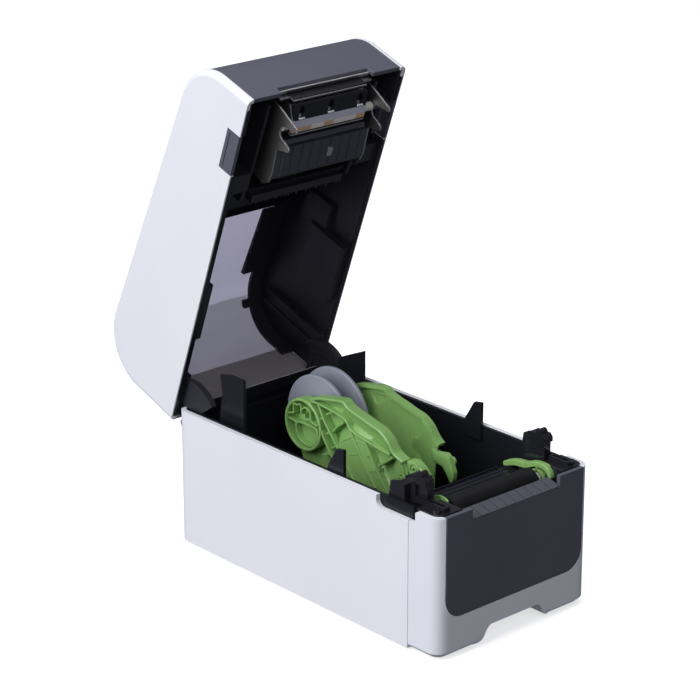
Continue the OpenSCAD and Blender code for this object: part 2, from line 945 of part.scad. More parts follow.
module guide_arm(own_y, other_y) {
    difference() {
        union() {
            along_x(web_x0, web_x1)
                arm_web_shape();
            along_x(web_x1 - 0.1, arm_out_x) {
                difference() {
                    translate(ring_c)
                        circle(ring_r);
                    translate(ring_c)
                        circle(ring_r - 2);
                }
                wall_along(concat([ring_c + polar(ring_r - 0.9, 100)], arm_top), 1.8);
                rib([29.5, base_h + 1.5], [6, floor_z + 31], 1.4);
                rib([31.1, base_h + 15.7], [1, base_h - 21], 1.4);
                rib([24, base_h + 16.5], [-9, base_h - 23], 1.4);
                rib([5, base_h + 5.2], [-20, base_h - 26], 1.4);
                rib([-7, base_h + 3], [-32, base_h - 27], 1.4);
                rib([25.4, base_h + 16.5], [7, base_h + 11], 1.4);
                rib([7, base_h + 11], [-14, base_h + 5.6], 1.4);
                rib([-14, base_h + 5.6], [-28.6, base_h + 2.6], 1.4);
                rib([-20.6, base_h - 6.8], [-31, base_h + 0.8], 1.4);
                for (p = rib_links)
                    rib(p[0], p[1], 1.2);
            }
            along_x(web_x1 - 0.1, arm_out_x - 3.6)
                for (x = [-6, 0, 6])
                    rib([spindle_y + x, base_h + 7], [spindle_y + x, base_h - 1], 1.2);
            along_x(web_x0 - 2, web_x0 + 4)
                polygon(concat([arm_top[8]], arm_nose, [[-34, base_h - 24], [-28, base_h - 10]]));
            x_cyl(spindle_y, spindle_z, disc_x0 + 0.4, web_x0 + 0.1, spindle_r);
            block(web_x0 - 4, arm_out_x + 2, rack_y - rack_pitch_r - 2.6,
                rack_y + rack_pitch_r + 2.6, floor_z + floor_t + 0.3, floor_z + floor_t + 4);
            block(web_x0 - 4, web_x0 + 4, own_y - 2.6, own_y + 2.6, rack_z0 + rack_h,
                floor_z + floor_t + 1);
            block(web_x0 - 4, web_x0 + 4, other_y - 2.6, other_y + 2.6, rack_z0 + rack_h + 0.6,
                floor_z + floor_t + 1);
        }
        x_cyl(-44.2, base_h - 1.6, web_x0 + 3, web_x0 + 5, 3.6);
    }
}

module guide_arm_left() {
    color([0.47, 0.70, 0.33])
        mirror([1, 0, 0])
            guide_arm(rack_y + rack_pitch_r, rack_y - rack_pitch_r);
}

module guide_arm_right() {
    color([0.47, 0.70, 0.33])
        guide_arm(rack_y - rack_pitch_r, rack_y + rack_pitch_r);
}

module guide_rack(side) {
    translate([0, rack_y, rack_z0])
        rotate(side > 0 ? 0 : 180)
            translate([0, -rack_pitch_r, 0])
                linear_extrude(rack_h)
                    rack_shape(rack_module, -rack_reach, web_x0 + 4, 0.06);
}

rack_reach = guide_travel + 10;

module guide_rack_left() {
    color([0.47, 0.70, 0.33])
        guide_rack(-1);
}

module guide_rack_right() {
    color([0.47, 0.70, 0.33])
        guide_rack(1);
}

module guide_pinion() {
    color([0.85, 0.84, 0.80])
        translate([0, rack_y, rack_z0])
            rotate(-90 + 180 / rack_teeth)
                linear_extrude(rack_h)
                    difference() {
                        gear_shape(rack_module, rack_teeth, 0.1);
                        circle(axle_r + running);
                    }
}

module roll_disc() {
    difference() {
        union() {
            x_cyl(spindle_y, spindle_z, disc_x0, disc_x0 + disc_t, disc_r);
            x_cyl(spindle_y, spindle_z, disc_x0 + disc_t - 0.1, web_x0 - 0.4, 8);
            difference() {
                x_cyl(spindle_y, spindle_z, disc_x0 + disc_t - 0.1, disc_x0 + disc_t + 1, 17);
                x_cyl(spindle_y, spindle_z, disc_x0 + disc_t - 0.1, disc_x0 + disc_t + 2, 15.4);
            }
            x_cyl(spindle_y, spindle_z, disc_x0 - 3.6, disc_x0 + 0.1, core_r);
        }
        x_cyl(spindle_y, spindle_z, disc_x0 + 0.3, web_x0 + 1, spindle_r + running);
    }
}

core_r = 12;

module roll_disc_left() {
    color([0.55, 0.56, 0.60])
        mirror([1, 0, 0])
            roll_disc();
}

module roll_disc_right() {
    color([0.55, 0.56, 0.60])
        roll_disc();
}

// ---------- lid ----------

module lever_window() {
    block(half_w - 8, half_w + 1, lever_y0 - clearance, lever_y1 + clearance, lid_z0 - 1,
        base_h + lever_h + 1.2);
}

module lid_side() {
    difference() {
        union() {
            lid_skin(half_w - cheek_wrap, half_w - lid_wall, 0, lid_wall);
            difference() {
                along_x(half_w - lid_wall - 0.05, half_w)
                    lid_profile(0);
                block(0, body_w, front_y - 1, rear_y + 1, lid_z0 - 40, lid_z0);
            }
        }
        lever_window();
    }
}

module lid_side_left() {
    color([0.90, 0.91, 0.94])
        opened()
            mirror([1, 0, 0])
                lid_side();
}

module lid_side_right() {
    color([0.90, 0.91, 0.94])
        opened()
            lid_side();
}

cover_x = half_w - cheek_wrap - 0.2;

module lid_nose_cover() {
    color([0.24, 0.24, 0.27])
        opened()
            difference() {
                intersection() {
                    lid_skin(-cover_x, cover_x, 0.3, lid_wall + 0.3);
                    block(-half_w, half_w, front_y - 1, window_y, lid_z0 + 0.8, 200);
                }
                block(-exit_x, exit_x, front_y - 1, front_y + 4, lid_z0 - 1, base_h + 6.2);
                for (b = [power_x, feed_x])
                    button_place(b)
                        translate([0, 0, -8])
                            cylinder(h = 12, r = button_r + 0.3);
            }
}

module lid_window() {
    color([0.55, 0.53, 0.60, 0.5])
        opened()
            intersection() {
                lid_skin(-cover_x, cover_x, 0.5, lid_wall);
                block(-half_w, half_w, window_y + 0.1, rear_y + 1, window_low_z, 200);
            }
}

module lid_rear_cover() {
    color([0.20, 0.20, 0.22])
        opened()
            intersection() {
                lid_skin(-cover_x, cover_x, 0.3, lid_wall + 0.3);
                block(-half_w, half_w, window_y + 60, rear_y + 1, lid_z0, window_low_z - 0.1);
            }
}

// Hinge lug: a sector about the hinge that reaches down into the base
module hinge_sector() {
    difference() {
        along_x(lug_x0, lug_x1)
            difference() {
                polygon(concat(
                    [[hinge_y, hinge_z]],
                    arc([hinge_y, hinge_z], sector_r, 130, 215, 10)
                ));
                translate([hinge_y, hinge_z])
                    circle(4.4);
            }
        for (r = [12, 16, 20])
            difference() {
                x_cyl(hinge_y, hinge_z, lug_x0 - 1, lug_x0 + 0.6, r + 0.6);
                x_cyl(hinge_y, hinge_z, lug_x0 - 1, lug_x0 + 1, r - 0.6);
            }
    }
    difference() {
        union() {
            x_cyl(hinge_y, hinge_z, lug_x0, lug_x1, 4.4);
            block(lug_x0, lug_x1, hinge_y - 4.2, hinge_y + 1.6, hinge_z, lid_z0 + 4);
        }
    }
}

module lid_lining() {
    color([0.07, 0.07, 0.08])
        opened()
            difference() {
                union() {
                    both_sides() {
                        along_x(lining_x0, lining_x1)
                            difference() {
                                lid_profile(lid_wall + 0.5);
                                translate([front_y, lid_z0 - 40])
                                    square([body_d, 40.6]);
                            }
                        intersection() {
                            lid_skin(half_w - 13.4, lining_x0 + 0.1, lid_wall + 0.5, lid_wall + 2.2);
                            block(0, body_w, window_y - 2, rear_y, window_low_z - 6, 200);
                        }
                        for (y = [20, 36.2, 52.4])
                            along_x(half_w - 22.6, half_w - 13)
                                polygon([
                                    [y, roof_z(y, 3.1)], [y + 16.3, roof_z(y + 16.3, 3.1)],
                                    [y + 16.3, roof_z(y + 16.3, 5.6)], [y, roof_z(y, 4)]
                                ]);
                        intersection() {
                            lid_skin(half_w - 18.4, half_w - 11, lid_wall + 0.5, lid_wall + 2.2);
                            block(0, half_w, 89, 92.5, window_low_z, 200);
                        }
                        block(lining_x0 - 2.6, lining_x0 + 0.1, 78.4, 85.4, lid_z0 + 0.6, base_h + 51);
                        for (y = [77, 85.2])
                            block(lining_x0 - 4.2, lining_x0 + 0.1, y, y + 1.6, lid_z0 + 0.6,
                                base_h + 52);
                        hinge_sector();
                        block(lug_x0, lining_x0 + 0.1, hinge_y - 18, hinge_y + 1.4, lid_z0 + 0.6,
                            lid_z0 + 4);
                        along_x(lining_x0 - 5, lining_x0 + 0.1)
                            polygon([
                                [15, base_h + 2], [15, base_h + 32], [62, base_h + 32],
                                [61, base_h + 20], [52, base_h + 2]
                            ]);
                        block(lining_x0 - 3, lining_x0 + 0.1, -2, 16.1, base_h + 20, base_h + 42);
                        for (y = [lever_y0 - 3.2, lever_y1 + 0.5])
                            block(lever_pin_x - 2.2, lining_x1, y, y + 2.7, lever_pin_z - 2.6,
                                lever_pin_z + 2.6);
                    }
                    along_x(-lining_x0, lining_x0)
                        polygon([
                            [window_y - 4, roof_z(window_y - 4, 3.2)],
                            [window_y, roof_z(window_y, 3.2)],
                            [window_y, roof_z(window_y, 4.6)],
                            [window_y - 4, roof_z(window_y - 4, 9)]
                        ]);
                }
                both_sides()
                    x_cyl(hinge_y, hinge_z, lug_x0 - 1, lug_x1 + 1, hinge_pin_r + running);
                lever_window();
                mirror([1, 0, 0])
                    lever_window();
                both_sides()
                    y_cyl(lever_pin_x, lever_pin_z, lever_y0 - 3, lever_y1 + 3, lever_pin_r + running);
            }
}

frame_top_z = base_h + 27;
frame_side_x = 37.6;

// Black moulding behind the nose that carries the print head
module lid_mechanism_frame() {
    color([0.07, 0.07, 0.08])
        opened()
            difference() {
                union() {
                    block(-lining_x0 + 0.1, lining_x0 - 0.1, front_y + 4, -36, frame_top_z,
                        frame_top_z + 2);
                    both_sides() {
                        along_x(frame_side_x, frame_side_x + 2)
                            polygon([
                                [front_y + 8, lid_z0 + 2], [front_y + 8, frame_top_z + 1],
                                [-36, frame_top_z + 1], [-36, lid_z0 + 6], [-60, lid_z0 + 3]
                            ]);
                        block(frame_side_x + 1.9, lining_x0 - 0.1, front_y + 50.6, front_y + 62,
                            lid_z0 + 2, frame_top_z + 1);
                        button_place(38)
                            translate([0, 0, -24.6])
                                cylinder(h = 9, r = 3);
                    }
                    along_x(-lining_x0 + 0.1, lining_x0 - 0.1)
                        polygon([
                            [-42, base_h + 8], [-40, base_h + 8], [-36, frame_top_z + 1],
                            [-38, frame_top_z + 1]
                        ]);
                    block(-33, 33, -39.6, -35, base_h + 4, base_h + 8.2);
                    block(-33, 33, -42, -38, base_h + 7, base_h + 9);
                    for (i = [-4:4])
                        block(i * 7.4 - 0.7, i * 7.4 + 0.7, -38.4, -33.6, base_h + 4, base_h + 12);
                }
                block(-11, 9, -44, -35.5, base_h + 10, base_h + 20);
                both_sides()
                    x_cyl(front_y + 56, base_h + 11, frame_side_x - 1, frame_side_x + 6.5, 1.2);
            }
}

module tear_bar() {
    color([0.72, 0.72, 0.74])
        opened()
            along_x(-exit_x + 0.3, exit_x - 0.3)
                polygon([
                    [front_y + 1.2, base_h + 3.4], [front_y + 1.0, base_h + 4.2],
                    [front_y + 3.0, base_h + 5.0], [front_y + 3.0, base_h + 14],
                    [front_y + 3.7, base_h + 14], [front_y + 3.7, base_h + 4.4]
                ]);
}

module ear_shape() {
    difference() {
        polygon([
            [platen_y - 12, base_h - 0.2], [platen_y - 7.7, base_h - 16.2],
            [platen_y - 6.6, base_h - 17.2], [platen_y - 5.2, base_h - 16.8],
            [platen_y - 4.1, base_h - 8.6], [platen_y + 4.1, base_h - 8.6],
            [platen_y + 5.4, base_h - 13], [platen_y + 6.6, base_h - 14.4],
            [platen_y + 8.4, base_h - 14.2], [platen_y + 10.4, base_h - 8.8],
            [platen_y + 11.9, base_h - 5.4], [platen_y + 27.5, base_h - 6.6],
            [platen_y + 33, base_h - 5.4], [platen_y + 36, base_h - 1.6],
            [platen_y + 34, base_h + 8], [platen_y + 16, base_h + 18],
            [platen_y - 14, base_h + 18]
        ]);
        translate([platen_y, platen_z])
            circle(hook_seat_r + 0.4);
        translate([platen_y - hook_seat_r - 0.4, platen_z - 12])
            square([2 * hook_seat_r + 0.8, 12]);
    }
}

module head_bracket() {
    color([0.70, 0.69, 0.68])
        opened() {
            both_sides()
                along_x(ear_x0, ear_x0 + ear_t)
                    ear_shape();
            block(-ear_x0 - 0.1, ear_x0 + 0.1, platen_y - 14, platen_y + 16, base_h + 17,
                base_h + 18);
            block(-26.3, 26.3, platen_y - 15.6, platen_y - 14.6, base_h - 2.2, base_h + 18);
            both_sides()
                block(26.2, ear_x0 + 0.1, platen_y - 15.6, platen_y - 14.4, base_h + 1.4,
                    base_h + 18);
            block(-26.3, 26.3, platen_y - 15, platen_y - 13.5, base_h + 17, base_h + 18);
        }
}

module head_springs() {
    color([0.62, 0.62, 0.64])
        opened() {
            x_cyl(platen_y + 17, base_h + 11, -ear_x0 + 0.1, ear_x0 - 0.1, 1.2);
            both_sides()
                for (i = [0:5])
                    translate([14 + 1.3 * i, platen_y + 17, base_h + 11])
                        rotate([0, 90, 0])
                            rotate_extrude()
                                translate([1.8, 0])
                                    circle(0.7, $fn = 16);
        }
}

// Ribbed guide that presses the label web flat behind the platen
module media_guide() {
    color([0.13, 0.13, 0.15])
        opened()
            difference() {
                union() {
                    along_x(-ear_x0 + 0.4, ear_x0 - 0.4)
                        polygon([
                            [platen_y + 12.4, base_h - 5.6], [platen_y + 29.4, base_h - 7],
                            [platen_y + 31, base_h - 6], [platen_y + 34.4, base_h + 5.4],
                            [platen_y + 33, base_h + 6], [platen_y + 28, base_h - 4],
                            [platen_y + 13.6, base_h - 2.6], [platen_y + 13, base_h + 6],
                            [platen_y + 11.4, base_h + 6]
                        ]);
                    for (i = [-4:4])
                        along_x(i * 7 - 0.5, i * 7 + 0.5)
                            polygon([
                                [platen_y + 12.6, base_h - 6.4], [platen_y + 29, base_h - 7.6],
                                [platen_y + 30, base_h - 5.6], [platen_y + 12.6, base_h - 4.4]
                            ]);
                    along_x(-29.5, 29.5)
                        polygon([
                            [platen_y + 7.6, base_h - 4.4], [platen_y + 9.8, base_h - 6],
                            [platen_y + 12.6, base_h - 4], [platen_y + 12.6, base_h - 1],
                            [platen_y + 9, base_h - 2.4]
                        ]);
                }
                for (x = [-16, 16])
                    block(x - 8, x + 8, platen_y + 9.9, platen_y + 12.2, base_h - 8, base_h);
                block(4.6, 7.6, platen_y + 18, platen_y + 23.4, base_h - 12, base_h);
            }
}

module label_sensor_window() {
    color([0.60, 0.62, 0.66])
        opened()
            block(4.8, 7.4, platen_y + 18.2, platen_y + 23.2, base_h - 7.6, base_h - 3);
}

module lid_screws() {
    color([0.62, 0.60, 0.50])
        opened()
            both_sides()
                translate([frame_side_x, 0, 0]) {
                    x_cyl(front_y + 56, base_h + 11, -1.2, 0, 2.4);
                    x_cyl(front_y + 56, base_h + 11, -0.1, 6.2, 1.2);
                }
}

// ---------- buttons ----------

power_x = -26;
feed_x = 26;
button_r = 7;
button_y = front_y + 34;
button_travel = 1;

module button_place(x) {
    translate([x, button_y, roof_z(button_y, 0.3)])
        rotate([roof_slope, 0, 0])
            children();
}

module button_cap() {
    translate([0, 0, -6])
        cylinder(h = 6.7, r = button_r);
    translate([0, 0, -6])
        cylinder(h = 2, r = button_r + 1.2);
    translate([0, 0, -9])
        cylinder(h = 3.1, r = 1.5);
}

module power_button() {
    color([0.32, 0.33, 0.36])
        opened()
            button_place(power_x)
                button_cap();
}

module feed_button() {
    color([0.32, 0.33, 0.36])
        opened()
            button_place(feed_x)
                button_cap();
}

module button_board() {
    opened() {
        color([0.07, 0.30, 0.18])
            button_place(0)
                translate([-42, -10, -15.6])
                    cube([84, 20, 1.6]);
        color([0.10, 0.10, 0.10])
            for (x = [power_x, feed_x])
                button_place(x)
                    translate([-3, -3, -14.1])
                        cube([6, 6, 3.6]);
        color([0.9, 0.9, 0.9])
            button_place(0)
                translate([-2, -4, -14.1])
                    cube([4, 8, 3]);
    }
}

// ---------- print head ----------

module print_head() {
    color([0.62, 0.50, 0.38])
        opened()
            along_x(-head_x, head_x)
                polygon([
                    [platen_y - 6.8, base_h - 3.4], [platen_y - 5.4, base_h - 6.4],
                    [platen_y + 3.4, base_h - 6.4], [platen_y + 3.4, base_h - 4.9],
                    [platen_y - 5, base_h - 4.9]
                ]);
}

module head_heatsink() {
    color([0.66, 0.67, 0.69])
        opened()
            difference() {
                along_x(-head_x - 0.4, head_x + 0.4)
                    polygon([
                        [platen_y - 12, base_h - 0.2], [platen_y - 6.6, base_h - 3.2],
                        [platen_y - 4.9, base_h - 4.8], [platen_y + 3.6, base_h - 4.8],
                        [platen_y + 3.6, base_h - 6.2], [platen_y + 4.4, base_h - 6.2],
                        [platen_y + 4.8, base_h - 1], [platen_y + 4.8, base_h + 3.4],
                        [platen_y - 12, base_h + 3.4]
                    ]);
                for (i = [-5:5])
                    block(i * 4.6 - 1, i * 4.6 + 1, platen_y - 11, platen_y + 3.8, base_h + 0.6,
                        base_h + 4);
            }
}

module head_cover() {
    color([0.13, 0.13, 0.15])
        opened()
            difference() {
                union() {
                    along_x(-head_x, head_x)
                        polygon([
                            [platen_y - 14, base_h - 2.4], [platen_y - 13.4, base_h - 3.8],
                            [platen_y - 7.2, base_h - 3.8], [platen_y - 7.2, base_h - 3.2],
                            [platen_y - 12.4, base_h - 0.4], [platen_y - 12.4, base_h + 3.4],
                            [platen_y - 14, base_h + 3.4]
                        ]);
                }
                for (x = [-21, 0, 21]) {
                    block(x - 2, x + 2, platen_y - 12, platen_y - 8.5, base_h - 6, base_h - 2.2);
                    translate([x, platen_y - 12, base_h - 6])
                        cylinder(h = 3.8, r = 2);
                    translate([x, platen_y - 8.5, base_h - 6])
                        cylinder(h = 3.8, r = 2);
                }
                for (x = [-16, -12, -6, 6, 12, 16])
                    block(x - 0.2, x + 0.2, platen_y - 15, platen_y - 6, base_h - 4.4, base_h - 3.5);
            }
}

module head_collars() {
    color([0.88, 0.88, 0.88])
        opened()
            both_sides()
                x_cyl(platen_y - 1.2, base_h - 3.2, head_x + 0.4, ear_x0 - 0.5, 2.5);
}

// ---------- release levers ----------

module latch_lever() {
    difference() {
        union() {
            along_x(half_w - 2.2, half_w)
                translate([lever_y0, lid_z0 + 0.2])
                    square([lever_y1 - lever_y0, lever_h]);
            block(half_w - 4.6, half_w - 2.1, lever_y0 + 3, lever_y1 - 3, lever_pin_z - 1.6,
                lever_pin_z + 1.6);
            block(post_x1 + 0.4, half_w - 4.5, lever_y0 + 3, lever_y0 + 8, lever_pin_z - 0.9,
                lever_pin_z + 0.9);
            y_cyl(lever_pin_x, lever_pin_z, lever_y0 - 2.4, lever_y1 + 2.4, lever_pin_r);
        }
        block(half_w - 0.5, half_w + 1, lever_y0 + 1.5, lever_y1 - 1.5, lid_z0 + 1.7,
            base_h + lever_h - 1);
    }
}

module latch_lever_left() {
    color([0.30, 0.30, 0.33])
        opened()
            mirror([1, 0, 0])
                latch_lever();
}

module latch_lever_right() {
    color([0.30, 0.30, 0.33])
        opened()
            latch_lever();
}

lower_case();
front_bezel();
front_panel();
media_exit_lip();
bottom_cover();
rubber_feet();
case_screws();
inner_tub();
print_chassis();
latch_post_left();
latch_post_right();
corner_plate_left();
corner_plate_right();
platen_bushes();
media_sensor_bar();
stepper_motor();
motor_screws();
gear_axle();
main_board();
board_screws();
dc_jack();
usb_port();
hinge_pins();
guide_pinion_axle();
platen_roller();
platen_shaft();
platen_gear();
idler_gear();
motor_pinion();
platen_lever_left();
platen_lever_right();
guide_arm_left();
guide_arm_right();
guide_rack_left();
guide_rack_right();
guide_pinion();
roll_disc_left();
roll_disc_right();
lid_side_left();
lid_side_right();
lid_nose_cover();
lid_window();
lid_rear_cover();
lid_lining();
lid_mechanism_frame();
tear_bar();
head_bracket();
head_springs();
media_guide();
label_sensor_window();
lid_screws();
button_board();
print_head();
head_heatsink();
head_cover();
head_collars();
latch_lever_left();
latch_lever_right();
power_button();
feed_button();
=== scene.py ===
"""Desktop label printer with its lid open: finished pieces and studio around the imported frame."""
import json
import math

import bmesh
import bpy
from mathutils import Matrix, Vector, geometry


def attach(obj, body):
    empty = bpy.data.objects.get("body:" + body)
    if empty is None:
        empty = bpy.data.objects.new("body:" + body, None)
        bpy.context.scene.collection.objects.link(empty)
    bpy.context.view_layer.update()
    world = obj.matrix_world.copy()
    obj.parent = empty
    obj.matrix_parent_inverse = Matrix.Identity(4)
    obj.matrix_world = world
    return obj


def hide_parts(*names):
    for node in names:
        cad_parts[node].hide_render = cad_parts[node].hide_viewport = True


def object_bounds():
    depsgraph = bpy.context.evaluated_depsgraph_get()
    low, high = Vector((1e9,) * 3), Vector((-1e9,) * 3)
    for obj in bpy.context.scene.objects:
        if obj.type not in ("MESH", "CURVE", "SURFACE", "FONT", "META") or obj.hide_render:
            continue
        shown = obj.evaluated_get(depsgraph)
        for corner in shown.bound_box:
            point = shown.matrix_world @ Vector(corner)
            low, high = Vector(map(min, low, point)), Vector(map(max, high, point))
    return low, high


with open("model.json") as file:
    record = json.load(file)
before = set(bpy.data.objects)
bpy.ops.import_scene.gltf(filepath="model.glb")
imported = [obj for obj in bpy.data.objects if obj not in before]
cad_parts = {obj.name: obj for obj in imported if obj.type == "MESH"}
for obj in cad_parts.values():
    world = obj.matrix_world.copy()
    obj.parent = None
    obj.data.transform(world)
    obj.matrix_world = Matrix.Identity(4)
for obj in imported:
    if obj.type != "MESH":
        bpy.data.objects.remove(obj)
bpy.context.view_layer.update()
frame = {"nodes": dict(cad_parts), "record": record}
NODES = frame["nodes"]
MM = 0.001


# ---------- camera ----------

CAMERA_PLACE = Vector((-0.90846, -0.98044, 0.62009))
CAMERA_YAW = math.radians(47.846)
CAMERA_PITCH = math.radians(20.132)


def make_camera():
    data = bpy.data.cameras.new("camera")
    data.sensor_width = 36
    data.lens = 134.13
    data.clip_start = 0.05
    data.clip_end = 50
    cam = bpy.data.objects.new("camera", data)
    ahead = Vector((math.cos(CAMERA_YAW) * math.cos(CAMERA_PITCH),
                    math.sin(CAMERA_YAW) * math.cos(CAMERA_PITCH),
                    -math.sin(CAMERA_PITCH)))
    right = ahead.cross(Vector((0, 0, 1))).normalized()
    up = right.cross(ahead)
    turn = Matrix((right, up, -ahead)).transposed().to_4x4()
    cam.matrix_world = Matrix.Translation(CAMERA_PLACE) @ turn
    bpy.context.scene.collection.objects.link(cam)
    bpy.context.scene.camera = cam


make_camera()


# ---------- materials ----------

class Nodes:
    """A material's node tree, built by short calls."""

    def __init__(self, name):
        self.mat = bpy.data.materials.new(name)
        self.mat.use_nodes = True
        self.tree = self.mat.node_tree
        self.shader = self.tree.nodes["Principled BSDF"]
        self.coord = self.add("ShaderNodeTexCoord").outputs["Object"]

    def add(self, kind, **values):
        node = self.tree.nodes.new(kind)
        for key, value in values.items():
            setattr(node, key, value)
        return node

    def link(self, out, socket):
        self.tree.links.new(out, socket)

    def set(self, **values):
        for key, value in values.items():
            self.shader.inputs[key.replace("_", " ")].default_value = value

    def noise(self, scale, detail=3.0, stretch=None, rough=0.5):
        node = self.add("ShaderNodeTexNoise")
        node.inputs["Scale"].default_value = scale
        node.inputs["Detail"].default_value = detail
        node.inputs["Roughness"].default_value = rough
        coord = self.coord
        if stretch:
            mapping = self.add("ShaderNodeMapping")
            mapping.inputs["Scale"].default_value = stretch
            self.link(coord, mapping.inputs["Vector"])
            coord = mapping.outputs["Vector"]
        self.link(coord, node.inputs["Vector"])
        return node.outputs["Fac"]

    def ramp(self, fac, stops):
        node = self.add("ShaderNodeValToRGB")
        elements = node.color_ramp.elements
        while len(elements) < len(stops):
            elements.new(0.5)
        for element, (place, colour) in zip(elements, stops):
            element.position = place
            element.color = (*colour, 1) if len(colour) == 3 else colour
        self.link(fac, node.inputs["Fac"])
        return node.outputs["Color"]

    def span(self, fac, low, high):
        node = self.add("ShaderNodeMapRange")
        node.inputs["To Min"].default_value = low
        node.inputs["To Max"].default_value = high
        self.link(fac, node.inputs["Value"])
        return node.outputs["Result"]

    def bump(self, height, distance, strength=1.0, under=None):
        node = self.add("ShaderNodeBump")
        node.inputs["Strength"].default_value = strength
        node.inputs["Distance"].default_value = distance
        self.link(height, node.inputs["Height"])
        if under:
            self.link(under, node.inputs["Normal"])
        return node.outputs["Normal"]

    def finish(self, colour=None, rough=None, normal=None):
        for out, name in ((colour, "Base Color"), (rough, "Roughness"), (normal, "Normal")):
            if out:
                self.link(out, self.shader.inputs[name])
        return self.mat


def scaled(colour, k):
    """The colour made lighter or darker by a factor."""
    return tuple(min(1.0, c * k) for c in colour)


def plastic(name, colour, rough=0.4, grain=900, grain_depth=0.02, spread=0.04, gloss=0.5):
    """Moulded plastic: fine spark grain, faint flow variation and uneven gloss."""
    n = Nodes(name)
    n.set(Specular_IOR_Level=gloss)
    flow = n.noise(14, 4)
    base = n.ramp(flow, [(0.3, scaled(colour, 1 - spread)), (0.7, scaled(colour, 1 + spread))])
    fine = n.noise(grain * 2, 2)
    patches = n.noise(40, 3)
    shine = n.span(patches, rough - 0.04, rough + 0.05)
    low = n.bump(n.noise(grain / 2, 2), grain_depth * MM * 2)
    normal = n.bump(fine, grain_depth * MM, under=low)
    return n.finish(base, shine, normal)


def metal(name, colour, rough=0.3, brush=(1, 60, 60), depth=0.01, spread=0.06):
    """Metal with fine drawn lines across it."""
    n = Nodes(name)
    n.set(Metallic=1.0)
    lines = n.noise(60, 4, stretch=brush)
    base = n.ramp(lines, [(0.3, scaled(colour, 1 - spread)), (0.7, scaled(colour, 1 + spread))])
    shine = n.span(n.noise(120, 3, stretch=brush), rough - 0.08, rough + 0.1)
    normal = n.bump(lines, depth * MM)
    return n.finish(base, shine, normal)


def rubber(name, colour, rough, around=False):
    """Dull elastomer with a ground surface; with around, the grain runs about a roller lying along x."""
    n = Nodes(name)
    n.set(Specular_IOR_Level=0.18)
    base = n.ramp(n.noise(60, 4), [(0.3, scaled(colour, 0.8)), (0.7, scaled(colour, 1.25))])
    fine = n.noise(700, 3, stretch=(6, 1, 1) if around else None)
    shine = n.span(n.noise(90, 3), rough - 0.06, rough + 0.08)
    return n.finish(base, shine, n.bump(fine, 0.03 * MM))


def tinted_window(name):
    """Smoky clear plastic, paler above a level line a third of the way up."""
    n = Nodes(name)
    n.set(Transmission_Weight=0.55, IOR=1.49, Coat_Weight=0.3)
    place = n.add("ShaderNodeTexCoord")
    split = n.add("ShaderNodeSeparateXYZ")
    n.link(place.outputs["Generated"], split.inputs["Vector"])
    uneven = n.add("ShaderNodeMath", operation="MULTIPLY_ADD")
    n.link(n.noise(60, 2), uneven.inputs[0])
    uneven.inputs[1].default_value = 0.02
    n.link(split.outputs["Z"], uneven.inputs[2])
    base = n.ramp(uneven.outputs["Value"], [(0.0, (0.36, 0.35, 0.43)), (0.325, (0.40, 0.39, 0.48)),
                                            (0.335, (0.66, 0.64, 0.80)), (1.0, (0.78, 0.75, 0.95))])
    shine = n.span(n.noise(300, 3), 0.10, 0.22)
    return n.finish(base, shine, n.bump(n.noise(20, 2), 0.02 * MM))


def circuit_board(name):
    """Green solder mask; a brick pattern stands in for the tracks."""
    n = Nodes(name)
    brick = n.add("ShaderNodeTexBrick")
    brick.inputs["Scale"].default_value = 260
    brick.inputs["Color1"].default_value = (0.01, 0.12, 0.05, 1)
    brick.inputs["Color2"].default_value = (0.02, 0.17, 0.08, 1)
    brick.inputs["Mortar"].default_value = (0.01, 0.07, 0.03, 1)
    n.link(n.coord, brick.inputs["Vector"])
    shine = n.span(n.noise(200, 2), 0.25, 0.4)
    return n.finish(brick.outputs["Color"], shine, n.bump(brick.outputs["Fac"], 0.04 * MM))


def ceramic_strip(name):
    """Tan glazed strip with paler worn patches along the object's length."""
    n = Nodes(name)
    n.set(Specular_IOR_Level=0.6)
    patches = n.noise(30, 1, stretch=(2.2, 0.6, 0.6), rough=0.2)
    base = n.ramp(patches, [(0.46, (0.66, 0.42, 0.26)), (0.5, (0.82, 0.78, 0.74)), (0.56, (0.84, 0.80, 0.76)),
                            (0.6, (0.64, 0.41, 0.26))])
    shine = n.span(n.noise(200, 2), 0.14, 0.24)
    return n.finish(base, shine, n.bump(n.noise(500, 2), 0.003 * MM))


WHITE = (0.80, 0.812, 0.868)
SLOT_MATERIALS = {
    "white_plastic": plastic("white_plastic", WHITE, 0.42, 1400, 0.012, 0.015, 0.4),
    "bezel_plastic": plastic("bezel_plastic", (0.78, 0.80, 0.86), 0.40, 1400, 0.012, 0.015, 0.4),
    "dark_plastic": plastic("dark_plastic", (0.100, 0.100, 0.135), 0.42, 1100, 0.012, 0.06, 0.3),
    "black_plastic": plastic("black_plastic", (0.013, 0.0135, 0.0185), 0.24, 800, 0.008, 0.2, 0.3),
    "green_plastic": plastic("green_plastic", (0.235, 0.44, 0.135), 0.27, 900, 0.006, 0.05, 0.55),
    "grey_plastic": plastic("grey_plastic", (0.29, 0.31, 0.37), 0.36, 1000, 0.006, 0.04, 0.4),
    "natural_plastic": plastic("natural_plastic", (0.62, 0.60, 0.54), 0.45, 900, 0.015, 0.05, 0.4),
    "window": tinted_window("window"),
    "rubber": rubber("rubber", (0.010, 0.010, 0.011), 0.45, around=True),
    "steel": metal("steel", (0.80, 0.78, 0.76), 0.40),
    "bright_steel": metal("bright_steel", (0.86, 0.86, 0.87), 0.30),
    "brass": metal("brass", (0.66, 0.48, 0.22), 0.3),
    "aluminium": metal("aluminium", (0.62, 0.63, 0.65), 0.35, (60, 60, 1)),
    "ceramic": ceramic_strip("ceramic"),
    "circuit_board": circuit_board("circuit_board"),
}
